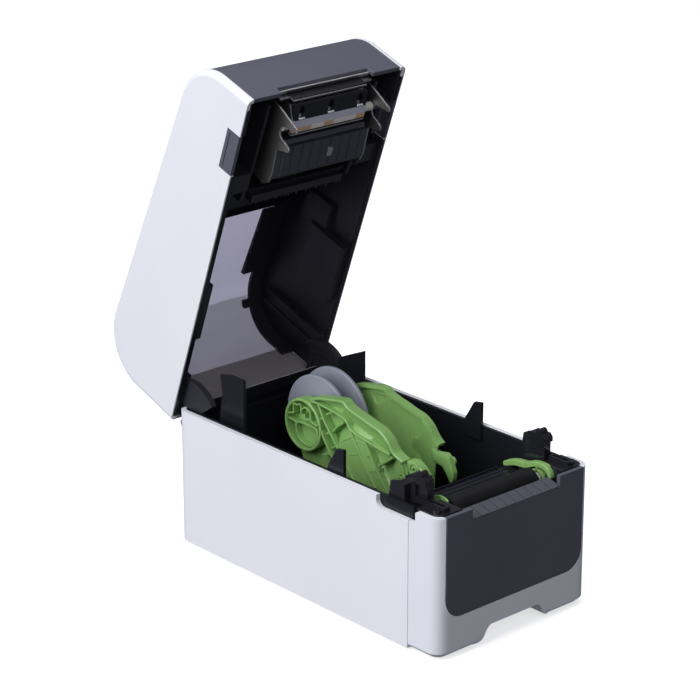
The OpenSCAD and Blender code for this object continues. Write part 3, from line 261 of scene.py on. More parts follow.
# Nodes whose finish differs from the rest of their slot.
OWN_MATERIALS = {
    "media_guide": plastic("guide_plastic", (0.060, 0.060, 0.082), 0.4, 900, 0.01, 0.1, 0.35),
    "lid_mechanism_frame": plastic("frame_plastic", (0.022, 0.022, 0.030), 0.36, 900, 0.01, 0.12, 0.32),
    "lid_rear_cover": plastic("rear_plastic", (0.38, 0.36, 0.37), 0.5, 700, 0.01, 0.1, 0.25),
    "latch_post_left": plastic("post_plastic", (0.013, 0.013, 0.018), 0.13, 500, 0.004, 0.2, 0.6),
    "lid_lining": plastic("lining_plastic", (0.026, 0.026, 0.034), 0.4, 700, 0.008, 0.15, 0.3),
    # the bracket takes a darker copy of steel: painted shade on its faces, set against the painted highlight
    # on its edges
    "head_bracket": metal("bracket_steel_painted_shade", (0.42, 0.41, 0.41), 0.36),
}
for twin in ("latch_post_right", "corner_plate_left", "corner_plate_right"):
    OWN_MATERIALS[twin] = OWN_MATERIALS["latch_post_left"]

# Sheet metal whose bevelled edges get a brighter steel than its faces: a painted highlight along the edges.
EDGE_HIGHLIGHT_STEEL = metal("painted_edge_highlight", (0.97, 0.96, 0.94), 0.42)
SHEET_METAL = ("head_bracket", "tear_bar")
SLOT_OF = {s["node"]: s["material_slot"] for s in frame["record"]["subparts"]}


# ---------- the frame's own nodes ----------

# Edge rounding in millimetres, for the nodes that don't take the plain one.
PLAIN_BEVEL = 0.25
BEVELS = {
    "lower_case": 0.7, "front_bezel": 0.7, "front_panel": 0.5, "lid_side_left": 1.2, "lid_side_right": 1.2,
    "lid_nose_cover": 0.5, "lid_rear_cover": 0.4, "inner_tub": 0.4, "lid_lining": 0.3,
    "head_bracket": 0.42, "tear_bar": 0.3, "latch_post_left": 0.8, "latch_post_right": 0.8,
    "corner_plate_left": 0.4, "corner_plate_right": 0.4,
}


def dress(name, obj):
    """Gives one of the frame's nodes its material and softly rounded edges."""
    obj.data.materials.clear()
    obj.data.materials.append(OWN_MATERIALS.get(name) or SLOT_MATERIALS[SLOT_OF[name]])
    bpy.context.view_layer.objects.active = obj
    if obj.data.has_custom_normals:
        with bpy.context.temp_override(object=obj, active_object=obj):
            bpy.ops.mesh.customdata_custom_splitnormals_clear()
    for poly in obj.data.polygons:
        poly.use_smooth = True
    weld = obj.modifiers.new("weld", "WELD")
    weld.merge_threshold = 0.000001
    bevel = obj.modifiers.new("bevel", "BEVEL")
    bevel.limit_method = "ANGLE"
    bevel.angle_limit = math.radians(28)
    bevel.width = BEVELS.get(name, PLAIN_BEVEL) * MM
    bevel.segments = 3
    # the bevels take the bright steel copy: painted highlight along the sheet metal's edges
    if name in SHEET_METAL:
        obj.data.materials.append(EDGE_HIGHLIGHT_STEEL)
        bevel.material = 1
    bevel.use_clamp_overlap = True
    normals = obj.modifiers.new("normals", "WEIGHTED_NORMAL")
    normals.keep_sharp = False


for node_name, node_obj in NODES.items():
    dress(node_name, node_obj)


# ---------- mesh helpers ----------

def new_object(name, bm, slot, body, width=0.2, angle=35, segments=2):
    """Turns a bmesh in millimetres into a finished piece riding its body."""
    bmesh.ops.remove_doubles(bm, verts=bm.verts, dist=0.0005)
    bmesh.ops.recalc_face_normals(bm, faces=bm.faces)
    bmesh.ops.scale(bm, vec=(MM, MM, MM), verts=bm.verts)
    mesh = bpy.data.meshes.new(name)
    bm.to_mesh(mesh)
    bm.free()
    obj = bpy.data.objects.new(name, mesh)
    bpy.context.scene.collection.objects.link(obj)
    mesh.materials.append(SLOT_MATERIALS[slot])
    for poly in mesh.polygons:
        poly.use_smooth = True
    if width:
        bevel = obj.modifiers.new("bevel", "BEVEL")
        bevel.limit_method = "ANGLE"
        bevel.angle_limit = math.radians(angle)
        bevel.width = width * MM
        bevel.segments = segments
        bevel.use_clamp_overlap = True
    obj.modifiers.new("normals", "WEIGHTED_NORMAL").keep_sharp = False
    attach(obj, body)
    return obj


def chaikin(points, rounds=2, closed=False):
    """Rounds the corners of a line of points."""
    for _ in range(rounds):
        out = []
        count = len(points)
        for i in range(count if closed else count - 1):
            a, b = points[i], points[(i + 1) % count]
            out.append((a[0] * 0.75 + b[0] * 0.25, a[1] * 0.75 + b[1] * 0.25))
            out.append((a[0] * 0.25 + b[0] * 0.75, a[1] * 0.25 + b[1] * 0.75))
        points = out if closed else [points[0]] + out + [points[-1]]
    return points


def resample(points, step, closed=False):
    """Points at even steps along a line."""
    pts = list(points) + ([points[0]] if closed else [])
    out = [pts[0]]
    left = step
    for a, b in zip(pts, pts[1:]):
        length = math.dist(a, b)
        place = left
        while place < length - 1e-9:
            k = place / length
            out.append((a[0] + (b[0] - a[0]) * k, a[1] + (b[1] - a[1]) * k))
            place += step
        left = place - length
    if not closed and math.dist(out[-1], pts[-1]) > step * 0.3:
        out.append(pts[-1])
    return out


def line_distance(p, points, closed=False):
    """Shortest distance from p to a line of points."""
    pts = list(points) + ([points[0]] if closed else [])
    best = 1e9
    for a, b in zip(pts, pts[1:]):
        dx, dy = b[0] - a[0], b[1] - a[1]
        k = ((p[0] - a[0]) * dx + (p[1] - a[1]) * dy) / (dx * dx + dy * dy + 1e-12)
        k = max(0.0, min(1.0, k))
        best = min(best, math.hypot(p[0] - a[0] - k * dx, p[1] - a[1] - k * dy))
    return best


def inside(p, points):
    """True if p lies inside the outline."""
    hit = False
    j = len(points) - 1
    for i in range(len(points)):
        a, b = points[i], points[j]
        if (a[1] > p[1]) != (b[1] > p[1]):
            if p[0] < (b[0] - a[0]) * (p[1] - a[1]) / (b[1] - a[1]) + a[0]:
                hit = not hit
        j = i
    return hit


def smooth(t):
    """Eases from 0 to 1, level at both ends."""
    t = max(0.0, min(1.0, t))
    return t * t * (3 - 2 * t)


def shell(bm, outline, low, high, step, put, holes=(), creases=()):
    """Closed plate over an outline; low and high give its two faces' heights at each point."""
    loops = [resample(outline, step, True)] + [resample(h, step * 0.6, True) for h in holes]
    points, edges = [], []
    for loop in loops:
        first = len(points)
        points += loop
        edges += [(first + i, first + (i + 1) % len(loop)) for i in range(len(loop))]
    for line in creases:
        marks = [p for p in resample(line, step * 0.8) if inside(p, loops[0])
                 and line_distance(p, loops[0], True) > 0.3]
        first = len(points)
        points += marks
        edges += [(first + i, first + i + 1) for i in range(len(marks) - 1)]
    y0, y1 = min(p[0] for p in outline), max(p[0] for p in outline)
    z0, z1 = min(p[1] for p in outline), max(p[1] for p in outline)
    rows = int((z1 - z0) / (step * 0.87)) + 1
    for r in range(rows):
        z = z0 + step * 0.87 * (r + 0.5)
        y = y0 + (step / 2 if r % 2 else 0)
        while y < y1:
            p = (y, z)
            near = any(inside(p, h) or line_distance(p, h, True) < step * 0.5 for h in loops[1:])
            near = near or any(line_distance(p, c) < step * 0.45 for c in creases)
            if inside(p, loops[0]) and line_distance(p, loops[0], True) > step * 0.55 and not near:
                points.append(p)
            y += step
    verts, _, faces, _, _, _ = geometry.delaunay_2d_cdt(
        [Vector(p) for p in points], edges, [], 1 if not holes else 0, 1e-5)
    keep = []
    for face in faces:
        c = (sum(verts[i][0] for i in face) / 3, sum(verts[i][1] for i in face) / 3)
        if inside(c, loops[0]) and not any(inside(c, h) for h in loops[1:]):
            keep.append(face)
    lower = [bm.verts.new(put(low(v), v[0], v[1])) for v in verts]
    upper = [bm.verts.new(put(high(v), v[0], v[1])) for v in verts]
    count = {}
    for face in keep:
        bm.faces.new([upper[i] for i in face])
        bm.faces.new([lower[i] for i in reversed(face)])
        for a, b in zip(face, face[1:] + face[:1]):
            count[(a, b)] = count.get((a, b), 0) + 1
    for a, b in count:
        if (b, a) not in count:
            bm.faces.new((upper[b], upper[a], lower[a], lower[b]))
    for v in lower + upper:
        if not v.link_faces:
            bm.verts.remove(v)


def rail(bm, points, half, low, high, put, closed=False, crown=0.5):
    """Rib along a line: level foot, rounded crest. low and high may be numbers or functions."""
    points = list(points)
    count = len(points)
    foot = low if callable(low) else (lambda p: low)
    top = high if callable(high) else (lambda p: high)
    rings = []
    for i, p in enumerate(points):
        a = points[(i - 1) % count] if closed or i else p
        b = points[(i + 1) % count] if closed or i < count - 1 else p
        d = Vector((b[0] - a[0], b[1] - a[1])).normalized()
        n = Vector((-d.y, d.x))
        c = min(crown, half * 0.9)
        h0, h1 = foot(p), top(p)
        shape = [(-half, h0), (-half, h1 - c), (-half + c * 0.3, h1 - c * 0.3), (-half + c, h1),
                 (half - c, h1), (half - c * 0.3, h1 - c * 0.3), (half, h1 - c), (half, h0)]
        rings.append([bm.verts.new(put(h, p[0] + n.x * w, p[1] + n.y * w)) for w, h in shape])
    pairs = list(zip(rings, rings[1:])) + ([(rings[-1], rings[0])] if closed else [])
    for r0, r1 in pairs:
        for j in range(8):
            bm.faces.new((r0[j], r1[j], r1[(j + 1) % 8], r0[(j + 1) % 8]))
    if not closed:
        bm.faces.new(rings[0])
        bm.faces.new(list(reversed(rings[-1])))


def circle_points(y, z, r, count=40, start=0.0, end=360.0):
    """Points on a circle or an arc; angles in degrees from the first axis towards the second."""
    full = abs(end - start) >= 360
    steps = count if full else count - 1
    return [(y + r * math.cos(math.radians(start + (end - start) * i / steps)),
             z + r * math.sin(math.radians(start + (end - start) * i / steps))) for i in range(count)]


# ---------- closed lid coordinates ----------

HINGE_Y, HINGE_Z = 102.9, 71.6
LID_COS, LID_SIN = math.cos(math.radians(70)), math.sin(math.radians(70))
FRONT_Y, REAR_Y, BASE_H, LID_Z0 = -107.5, 107.5, 80.0, 80.4
SLOPE = math.radians(5.2)
ROOF_Y, ROOF_Z = -84.0, 132.0
HALF_WIDTH = 57
PLATEN_Y = -87.5


def opened(x, y, z):
    """Where a point of the closed lid lies in the open pose."""
    dy, dz = y - HINGE_Y, z - HINGE_Z
    return Vector((x, HINGE_Y + dy * LID_COS + dz * LID_SIN, HINGE_Z - dy * LID_SIN + dz * LID_COS))


def roof_z(y, t):
    """Height of the shut lid's sloping roof at y, at depth t under its surface."""
    return ROOF_Z + math.tan(SLOPE) * (y - ROOF_Y) - t / math.cos(SLOPE)


def lid_profile(t, steps=22):
    """Outline of the shut lid from the side at depth t, from its rim's front end to the rear end."""
    points = [(FRONT_Y + t, LID_Z0)]
    for cy, r, start, end in ((FRONT_Y + 27, 27, 180, 95.2), (REAR_Y - 31, 31, 95.2, 0)):
        cz = roof_z(cy - r * math.sin(SLOPE), 0) - r * math.cos(SLOPE)
        for i in range(steps):
            a = math.radians(start + (end - start) * i / (steps - 1))
            points.append((cy + (r - t) * math.cos(a), cz + (r - t) * math.sin(a)))
    points.append((REAR_Y - t, LID_Z0))
    return points


def strip(bm, a, b):
    """Faces between two rows of vertices."""
    for i in range(len(a) - 1):
        bm.faces.new((a[i], a[i + 1], b[i + 1], b[i]))


def block(bm, x0, x1, y0, y1, z0, z1, put=lambda x, y, z: Vector((x, y, z))):
    """Box between the given limits, each corner passed through put."""
    v = [bm.verts.new(put(x, y, z)) for x in (x0, x1) for y in (y0, y1) for z in (z0, z1)]
    for f in ((0, 1, 3, 2), (4, 6, 7, 5), (0, 4, 5, 1), (2, 3, 7, 6), (0, 2, 6, 4), (1, 5, 7, 3)):
        bm.faces.new([v[i] for i in f])


def prism(bm, outline, x0, x1, put=lambda x, y, z: Vector((x, y, z))):
    """Solid with a side view in the (y, z) plane, from x0 to x1."""
    a = [bm.verts.new(put(x0, y, z)) for y, z in outline]
    b = [bm.verts.new(put(x1, y, z)) for y, z in outline]
    bm.faces.new(a)
    bm.faces.new(list(reversed(b)))
    for i in range(len(a)):
        j = (i + 1) % len(a)
        bm.faces.new((a[i], a[j], b[j], b[i]))


# ---------- lid sides ----------

LEVER_CUT = [(-60.0, LID_Z0), (-60.0, 90.8), (-84.7, 90.8), (-84.7, LID_Z0)]


def lid_side(side):
    """White side of the lid with its soft outer edge and the cut for the latch lever."""
    bm = bmesh.new()
    r = 3.6
    rings = []
    edge = [(HALF_WIDTH - r + r * math.sin(math.radians(a)), r - r * math.cos(math.radians(a)))
            for a in range(0, 91, 15)]
    for x, t in [(52.8, 0.0)] + edge + [(52.8, 2.4), (54.6, 2.4)]:
        rings.append([bm.verts.new(opened(side * x, y, z)) for y, z in lid_profile(t)])
    outer, lip, inner = rings[-3], rings[-2], rings[-1]
    for a, b in zip(rings[:-2], rings[1:-2]):
        strip(bm, a, b)
    strip(bm, rings[0], lip)
    strip(bm, lip, inner)
    cut_out = [bm.verts.new(opened(side * HALF_WIDTH, y, z)) for y, z in LEVER_CUT]
    cut_in = [bm.verts.new(opened(side * 54.6, y, z)) for y, z in LEVER_CUT]
    bm.faces.new(outer + cut_out)
    bm.faces.new(inner + cut_in)
    strip(bm, [outer[-1]] + cut_out + [outer[0]], [inner[-1]] + cut_in + [inner[0]])
    for i in (0, -1):
        bm.faces.new([ring[i] for ring in rings[:-2]] + [inner[i], lip[i]])
    name = "left" if side < 0 else "right"
    obj = new_object("lid_side_shell_" + name, bm, "white_plastic", "lid", 0.25, 40)
    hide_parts("lid_side_" + name)
    bm = bmesh.new()
    for x0, y0, y1 in ((54.2, -101, -85), (52.9, -59.6, 104)):
        block(bm, side * x0, side * 56.1, y0, y1, 80.15, 81.2, opened)
    new_object("rim_lip_" + name, bm, "black_plastic", "lid", 0.2)


lid_side(-1)
lid_side(1)


# ---------- front bezel ----------

# The bezel wraps round the case's front corners. SIDE_RUN, CORNER_RUN and FULL_RUN are the lengths
# of one side, one corner and the whole of its outside, from seam to seam.
SEAM_Y = -84.95
CORNER = 8
CORNER_X, CORNER_Y = HALF_WIDTH - CORNER, -99.5
SIDE_RUN = SEAM_Y - CORNER_Y
CORNER_RUN = math.pi / 2 * CORNER
FULL_RUN = SIDE_RUN * 2 + CORNER_RUN * 2 + 2 * CORNER_X


def bezel_place(d, s, z):
    """Point at d behind the outside, s along it from the left seam, z up; the foot is rounded."""
    if z < 3.2:
        d += 3.2 - math.sqrt(max(0.0, 3.2 ** 2 - (3.2 - z) ** 2))
    mirror = s > FULL_RUN / 2
    s = FULL_RUN - s if mirror else s
    if s < SIDE_RUN:
        x, y = -HALF_WIDTH + d, SEAM_Y - s
    elif s < SIDE_RUN + CORNER_RUN:
        a = math.pi + (s - SIDE_RUN) / CORNER
        x, y = -CORNER_X + (CORNER - d) * math.cos(a), CORNER_Y + (CORNER - d) * math.sin(a)
    else:
        x, y = -CORNER_X + s - SIDE_RUN - CORNER_RUN, FRONT_Y + d
    return Vector((-x if mirror else x, y, z))


def bezel_run(x):
    """Length along the outside at the front for a given x."""
    if abs(x) <= CORNER_X:
        return SIDE_RUN + CORNER_RUN + CORNER_X + x
    past = math.asin((abs(x) - CORNER_X) / CORNER) * CORNER
    return SIDE_RUN + CORNER_RUN + CORNER_X + math.copysign(CORNER_X + past, x)


def front_bezel():
    """White frame beside and below the front panel, with a rimmed notch in its foot."""
    half = [(bezel_run(-51.3), 80), (bezel_run(-51.3), 33.5)]
    for i in range(1, 9):
        a = math.pi + math.pi / 2 * i / 8
        half.append((bezel_run(-39.3 + 12 * math.cos(a)), 33.5 + 12 * math.sin(a)))
    foot = chaikin([(0, 0), (bezel_run(-34), 0), (bezel_run(-24.4), 0), (bezel_run(-19.6), 9.4),
                    (bezel_run(-14), 9.4), (bezel_run(0), 9.4)], 3)
    left = [(4.85, 80), (4.85, 73.4), (0, 73.4)] + foot
    outline = list(reversed(half)) + left
    outline = outline + [(FULL_RUN - s, z) for s, z in reversed(outline)]
    clean = [outline[0]]
    for p in outline[1:]:
        if math.dist(p, clean[-1]) > 0.01:
            clean.append(p)
    if math.dist(clean[0], clean[-1]) < 0.01:
        clean.pop()
    bm = bmesh.new()
    shell(bm, clean, lambda p: 2.8, lambda p: 0.0, 2.1, bezel_place)
    pocket = chaikin([(-24.6, 2.2), (-20.6, 10.4), (-14, 10.4), (14, 10.4), (20.6, 10.4), (24.6, 2.2)], 3)
    rail(bm, pocket, 1.0, 0.9, 26, lambda h, x, z: Vector((x, FRONT_Y + h, z)), crown=0.2)
    obj = new_object("bezel_shell", bm, "bezel_plastic", "base", 0.45, 40, 3)
    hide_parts("front_bezel")


front_bezel()


# ---------- label exit lip ----------

def exit_lip():
    """Sloping lip in front of the platen: ten tiles with dark gaps between them."""
    bm = bmesh.new()
    prism(bm, [(FRONT_Y + 0.6, 73.9), (FRONT_Y + 0.6, 74.0), (FRONT_Y + 8.4, 76.6), (FRONT_Y + 9.6, 76.2),
               (FRONT_Y + 9.6, 68), (FRONT_Y + 2.5, 68), (FRONT_Y + 2.5, 73.9)], -32.4, 32.4)
    base = new_object("lip_bed", bm, "black_plastic", "base", 0.15)
    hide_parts("media_exit_lip")
    bm = bmesh.new()
    for i in range(10):
        x0 = -32.4 + i * 6.48
        prism(bm, [(FRONT_Y, 73.8), (FRONT_Y, 74.4), (FRONT_Y + 8.3, 77.1), (FRONT_Y + 9.4, 76.5),
                   (FRONT_Y + 8.6, 75.6), (FRONT_Y + 0.6, 73.4)], x0 + 0.26, x0 + 6.22)
    tiles = new_object("lip_tiles", bm, "dark_plastic", "base", 0.12)
    tiles.data.materials[0] = plastic("lip_plastic", (0.080, 0.081, 0.104), 0.45, 900, 0.01, 0.06, 0.3)


exit_lip()


# ---------- roll guide arms ----------

# Side views of the arms in (y, z). The outline runs along the foot and rear, over the top and down
# the front.
RING = (43.0, 78.2)
ARM_REAR = [(-32, 22.6), (20, 22.6), (26, 50), (49, 54)] + circle_points(*RING, 15.0, 12, -38, 95)
ARM_TOP = [(36.0, 95.2), (30, 97.6), (19, 99.8), (9, 101.6), (6.4, 98.4), (-7, 95.6), (-14, 93.8),
           (-20, 93.0), (-26, 89.2), (-28.8, 85.4), (-31.5, 82.4), (-38.4, 80.2)]
ARM_FRONT_LEFT = [(-38.2, 76), (-37, 68), (-33, 61)]
ARM_FRONT_RIGHT = [(-34.0, 77), (-33.4, 71.6), (-32, 62)]
ARM_BAND = [(37, 94.4), (30, 97.2), (19, 99.4), (9, 101), (6.2, 98), (-7, 95.2), (-14, 93.4), (-20, 92.6),
            (-26, 88.8), (-28.6, 85.2), (-30, 82.6), (-27.5, 81.6), (-20, 83.2), (-12.4, 84.4), (-3.6, 85.4),
            (3.6, 87.4), (6.4, 90.8), (9.8, 92.6), (23.3, 94.4)]
FLANGE = [(36, 94.6), (23.3, 94.2), (9.2, 92.2), (6.2, 90.4), (4.4, 87.0), (-3.6, 84.9), (-12.4, 83.8),
          (-22, 82.2), (-28.4, 81.6)]
INNER_EDGE = [(36, 94.6), (24, 96.6), (9.6, 97.2), (3, 96.2), (-3, 94.6), (-11, 92.4), (-19.4, 89.4),
              (-23.4, 86.4), (-25.8, 81.8), (-30, 79.6)]
DISH = [(13.5, 84.6), (7.6, 91.4), (2, 94.4), (-4, 93.0), (-11, 90.6), (-18.2, 87.6), (-21.4, 85),
        (-21.6, 82.4), (-16.6, 80.4), (-15.2, 76.4), (-22, 70), (-31, 60), (-34, 36), (14, 36), (20, 60),
        (22, 74), (18, 82)]
POCKET = [(23.0, 95.4), (18.4, 88.8), (13.1, 90.9), (8.6, 96.4)]
BOWL = [(-20, 110), (-21.0, 88), (-20.6, 84), (-15.4, 79.6), (-14.0, 75.6), (-20, 69), (-31, 58), (-34, 20),
        (70, 20), (70, 110)]
FINGER_LEFT = [(-37.8, 80.6), (-42, 81.9), (-47.5, 80.6), (-51, 77.8), (-55, 72.6), (-52.5, 66), (-50, 63.6),
               (-43, 63.2), (-41, 66), (-40.6, 73.8), (-38, 76.6)]
FINGER_RIGHT = [(-30.5, 78.6), (-35.4, 77.4), (-42.2, 78.6), (-44.6, 76.8), (-48.4, 69.0), (-47.8, 64.2),
                (-45.6, 62.4), (-41.8, 67.6), (-39.0, 70.4), (-31, 71.2)]
STRAIGHT_RIBS = [
    [(38.5, 93.2), (34.6, 90.0), (29.8, 82.3), (26.0, 74.7), (18.5, 64.5), (11, 54)],
    [(31.3, 94.6), (25.3, 84.8), (13.9, 71.5), (0, 55)],
    [(5.2, 87.2), (-2.5, 75.7), (-16, 58)], [(-6.9, 84.6), (-14.3, 73.0), (-26, 58)],
    [(-12.7, 85.4), (-20, 83.6), (-27.3, 81.8)], [(-18.7, 72.2), (-30.2, 80.6)],
]
SMALL_RIBS = [
    [(24.6, 89.4), (19.2, 92.5)], [(19.6, 80.4), (15.6, 84.8), (10.4, 88.6)], [(11.9, 77.4), (2.6, 83.0)],
    [(5.4, 71.4), (-4.5, 74.8)], [(27.8, 64.4), (20.6, 66.8)], [(24.9, 77.9), (20.4, 79.6)],
    [(20.6, 70.4), (15.0, 73.8)], [(-10.8, 66.4), (-18.8, 69.2)], [(-8.4, 74.4), (-12.6, 76.6)],
    [(1.4, 80.8), (-9, 81.6)], [(27.4, 86.4), (29.8, 85.2)],
]


def arm_pivot_end(bm, put):
    """Floor of the ring, its stepped stiffening ribs and the half-round pocket."""
    ring_floor = circle_points(*RING, 14.8, 48)
    shell(bm, ring_floor, lambda p: 10.9, lambda p: 12.6, 2.2, put)
    rail(bm, [(51.6, 89.4), (51.3, 83.0), (57.0, 81.4)], 0.55, 12, 17.4, put, crown=0.3)
    rail(bm, [(51.4, 89.0), (49.0, 88.1), (46.2, 89.6), (44.9, 86.4), (42.3, 88.6), (39.7, 88.5),
              (37.7, 87.0), (36.7, 81.6), (31.4, 80.4)], 0.55, 12, 17.2, put, crown=0.3)
    rail(bm, [(47.0, 86.5), (46.7, 82.6), (43.6, 83.6), (43.3, 81.0), (37.4, 82.0)], 0.55, 12, 15.8, put,
         crown=0.3)
    rail(bm, chaikin([(50.6, 77.6), (45.6, 78.6), (41.0, 78.4), (32.8, 78.2), (31.6, 74.4), (33.6, 69.2),
                      (38.4, 65.8), (45.0, 66.4), (49.6, 70.2)], 2, True), 0.6, 12, 16.6, put, closed=True,
         crown=0.35)
    rail(bm, [(50.0, 77.6), (57.0, 78.4)], 0.55, 12, 16.6, put, crown=0.3)


def arm_finger(bm, side, put):
    """Forward finger with its pivot boss, and the cheek that it grows from."""
    nose = chaikin(FINGER_LEFT, 1, True) if side < 0 else FINGER_RIGHT
    cheek = (chaikin([(-28.5, 82.4), (-33, 81.4), (-38.0, 80.2), (-39.5, 74), (-37, 66), (-33, 60),
                      (-27, 62)], 1, True) if side < 0 else
             [(-28.5, 81.6), (-32.6, 80.0), (-33.4, 76), (-32.8, 71.6), (-31.6, 62), (-27, 62)])
    shell(bm, cheek, lambda p: 12.2,
          lambda p: 14.4 - 0.7 * (1 - smooth(line_distance(p, cheek, True) / 1.4)), 1.6, put)

    def finger_low(p):
        return (9.0 if side < 0 else 10.8) + 0.6 * (1 - smooth(line_distance(p, nose, True) / 1.6))

    def finger_high(p):
        return 14.9 - 0.7 * (1 - smooth(line_distance(p, nose, True) / 1.4))

    boss = (-45.1, 77.4) if side < 0 else (-44.0, 74.0)
    shell(bm, nose, finger_low, finger_high, 1.3, put, [circle_points(*boss, 1.1, 14)] if side < 0 else ())
    rail(bm, circle_points(*boss, 3.4 if side < 0 else 2.2, 30), 0.35, 14.2, 15.5, put, closed=True,
         crown=0.25)
    rail(bm, circle_points(*boss, 1.5, 20), 0.3, 14.2, 15.7, put, closed=True, crown=0.2)
    if side < 0:
        rail(bm, [(-31.6, 80.6), (-36.2, 75.8), (-38.6, 67.2)], 0.6, 13.8, 15.9, put, crown=0.4)
        rail(bm, circle_points(-35.0, 70.8, 1.2, 16), 0.35, 13.8, 15.4, put, closed=True, crown=0.2)


def guide_arm(side):
    """One roll guide, left for side -1 and right for 1. Heights h run outwards from the middle plane.
    DISH and INNER_EDGE shape the left arm, BOWL the right one, and POCKET both."""
    bm = bmesh.new()
    put = lambda h, y, z: Vector((side * h, y, z))
    if side < 0:
        top = chaikin(ARM_TOP, 2)
        outline = ARM_REAR + top + ARM_FRONT_LEFT
    else:
        top = chaikin(ARM_TOP[:-1] + [(-34.4, 80.6)], 2)
        outline = ARM_REAR + top + ARM_FRONT_RIGHT
    dish = chaikin(DISH, 2, True)
    edge = chaikin(INNER_EDGE, 1)

    def hollow(p):
        if not inside(p, dish):
            return 0.0
        return 4.6 * smooth(line_distance(p, dish, True) / 8)

    def inner(p):
        if side > 0:
            t = min(1.0, max(0.0, (p[1] - 68) / 29))
            h = 10.8 + 4.6 * t + 1.4 * math.sin(math.pi * t)
            if inside(p, POCKET):
                h = min(16.4, h + 1.7 * min(1.0, line_distance(p, POCKET, True) / 1.2))
            if not inside(p, BOWL):
                h += (12.3 - h) * smooth(line_distance(p, BOWL, True) / 1.0)
            return h
        h = 10.8 + hollow(p)
        rim = edge + [(-34, 90), (0, 110), (40, 110)]
        if inside(p, rim):
            up, down = line_distance(p, top), line_distance(p, edge)
            h = 11.3 + 4.4 * down / (up + down + 0.01)
        if inside(p, POCKET):
            h += 3.2 * min(1.0, line_distance(p, POCKET, True) / 1.2)
        return h

    def outer(p):
        return max(11.9 + 0.3 * hollow(p) if side < 0 else 11.9, inner(p) + 0.9)

    creases = [edge, dish + dish[:1]] if side < 0 else [POCKET + POCKET[:1], BOWL[1:7]]
    shell(bm, outline, inner, outer, 1.4, put, creases=creases)
    band = chaikin(ARM_BAND, 2, True)

    def band_top(p):
        up, down = line_distance(p, top), line_distance(p, FLANGE)
        return max(17.2 - 3.6 * up / (up + down + 0.01), inner(p) + 1.2)

    shell(bm, band, (lambda p: 12.9) if side < 0 else (lambda p: inner(p) + 0.5), band_top, 1.3, put)
    rail(bm, resample(top, 1.2), 1.0, 11.6 if side < 0 else 13.2, 18, put, crown=0.9 if side < 0 else 0.3)
    rail(bm, chaikin(FLANGE, 3), 0.65, 12.0 if side < 0 else (lambda p: inner(p) + 0.4), 18, put, crown=0.5)
    rail(bm, circle_points(*RING, 14.5, 56), 1.0, 10.8, 18, put, closed=True, crown=0.8)
    for line in STRAIGHT_RIBS:
        rail(bm, line, 0.75, lambda p: outer(p) - 0.6, 17.4, put, crown=0.4)
    for line in SMALL_RIBS:
        rail(bm, line, 0.6, lambda p: outer(p) - 0.6, 16.6, put, crown=0.35)
    arm_pivot_end(bm, put)
    arm_finger(bm, side, put)
    # spindle, sliding foot and the two blades that reach the racks under the floor
    spindle = circle_points(*RING, 4, 32)
    shell(bm, spindle, lambda p: 6.4, lambda p: 11.0, 1.6, put)
    name = "arm_left" if side < 0 else "arm_right"
    own, other = (18, 2) if side < 0 else (2, 18)
    for x0, x1, y0, y1, z0, z1 in (
            (6.8, 20, -0.6, 20.6, 22.3, 26), (6.8, 14.8, own - 2.6, own + 2.6, 18.6, 23),
            (6.8, 14.8, other - 2.6, other + 2.6, 19.2, 23)):
        block(bm, side * x0, side * x1, y0, y1, z0, z1)
    body = "roll_guide_left" if side < 0 else "roll_guide_right"
    obj = new_object(name, bm, "green_plastic", body, 0.22, 40, 2)
    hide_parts("guide_arm_left" if side < 0 else "guide_arm_right")


guide_arm(-1)
guide_arm(1)


# ---------- roll discs ----------

def roll_disc(side, x0, r, slot):
    """Flat disc turned about the spindle, with a hub boss and a raised rim on both faces."""
    half = [(1.45, 4.0), (1.45, 7.4), (1.3, 7.8), (1.0, 8.0), (1.0, 11.4), (1.28, 11.8), (1.28, 13.0),
            (1.0, 13.4), (0.95, r - 1.9), (1.12, r - 1.5), (1.12, r - 0.5), (0.8, r - 0.08)]
    line = half + [(-w, q) for w, q in reversed(half)]
    bm = bmesh.new()
    count = 96
    rings = []
    for k in range(count):
        a = 2 * math.pi * k / count
        rings.append([bm.verts.new((x0 + w, RING[0] + q * math.cos(a), RING[1] + q * math.sin(a)))
                      for w, q in line])
    for k in range(count):
        a, b = rings[k], rings[(k + 1) % count]
        for i in range(len(line)):
            j = (i + 1) % len(line)
            bm.faces.new((a[i], a[j], b[j], b[i]))
    name = "left" if side < 0 else "right"
    obj = new_object("disc_" + name, bm, slot, "roll_disc_" + name, 0)
    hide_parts("roll_disc_" + name)


roll_disc(-1, -5.2, 26.2, "grey_plastic")
roll_disc(1, 6.9, 28.0, "grey_plastic")


# ---------- print head ----------

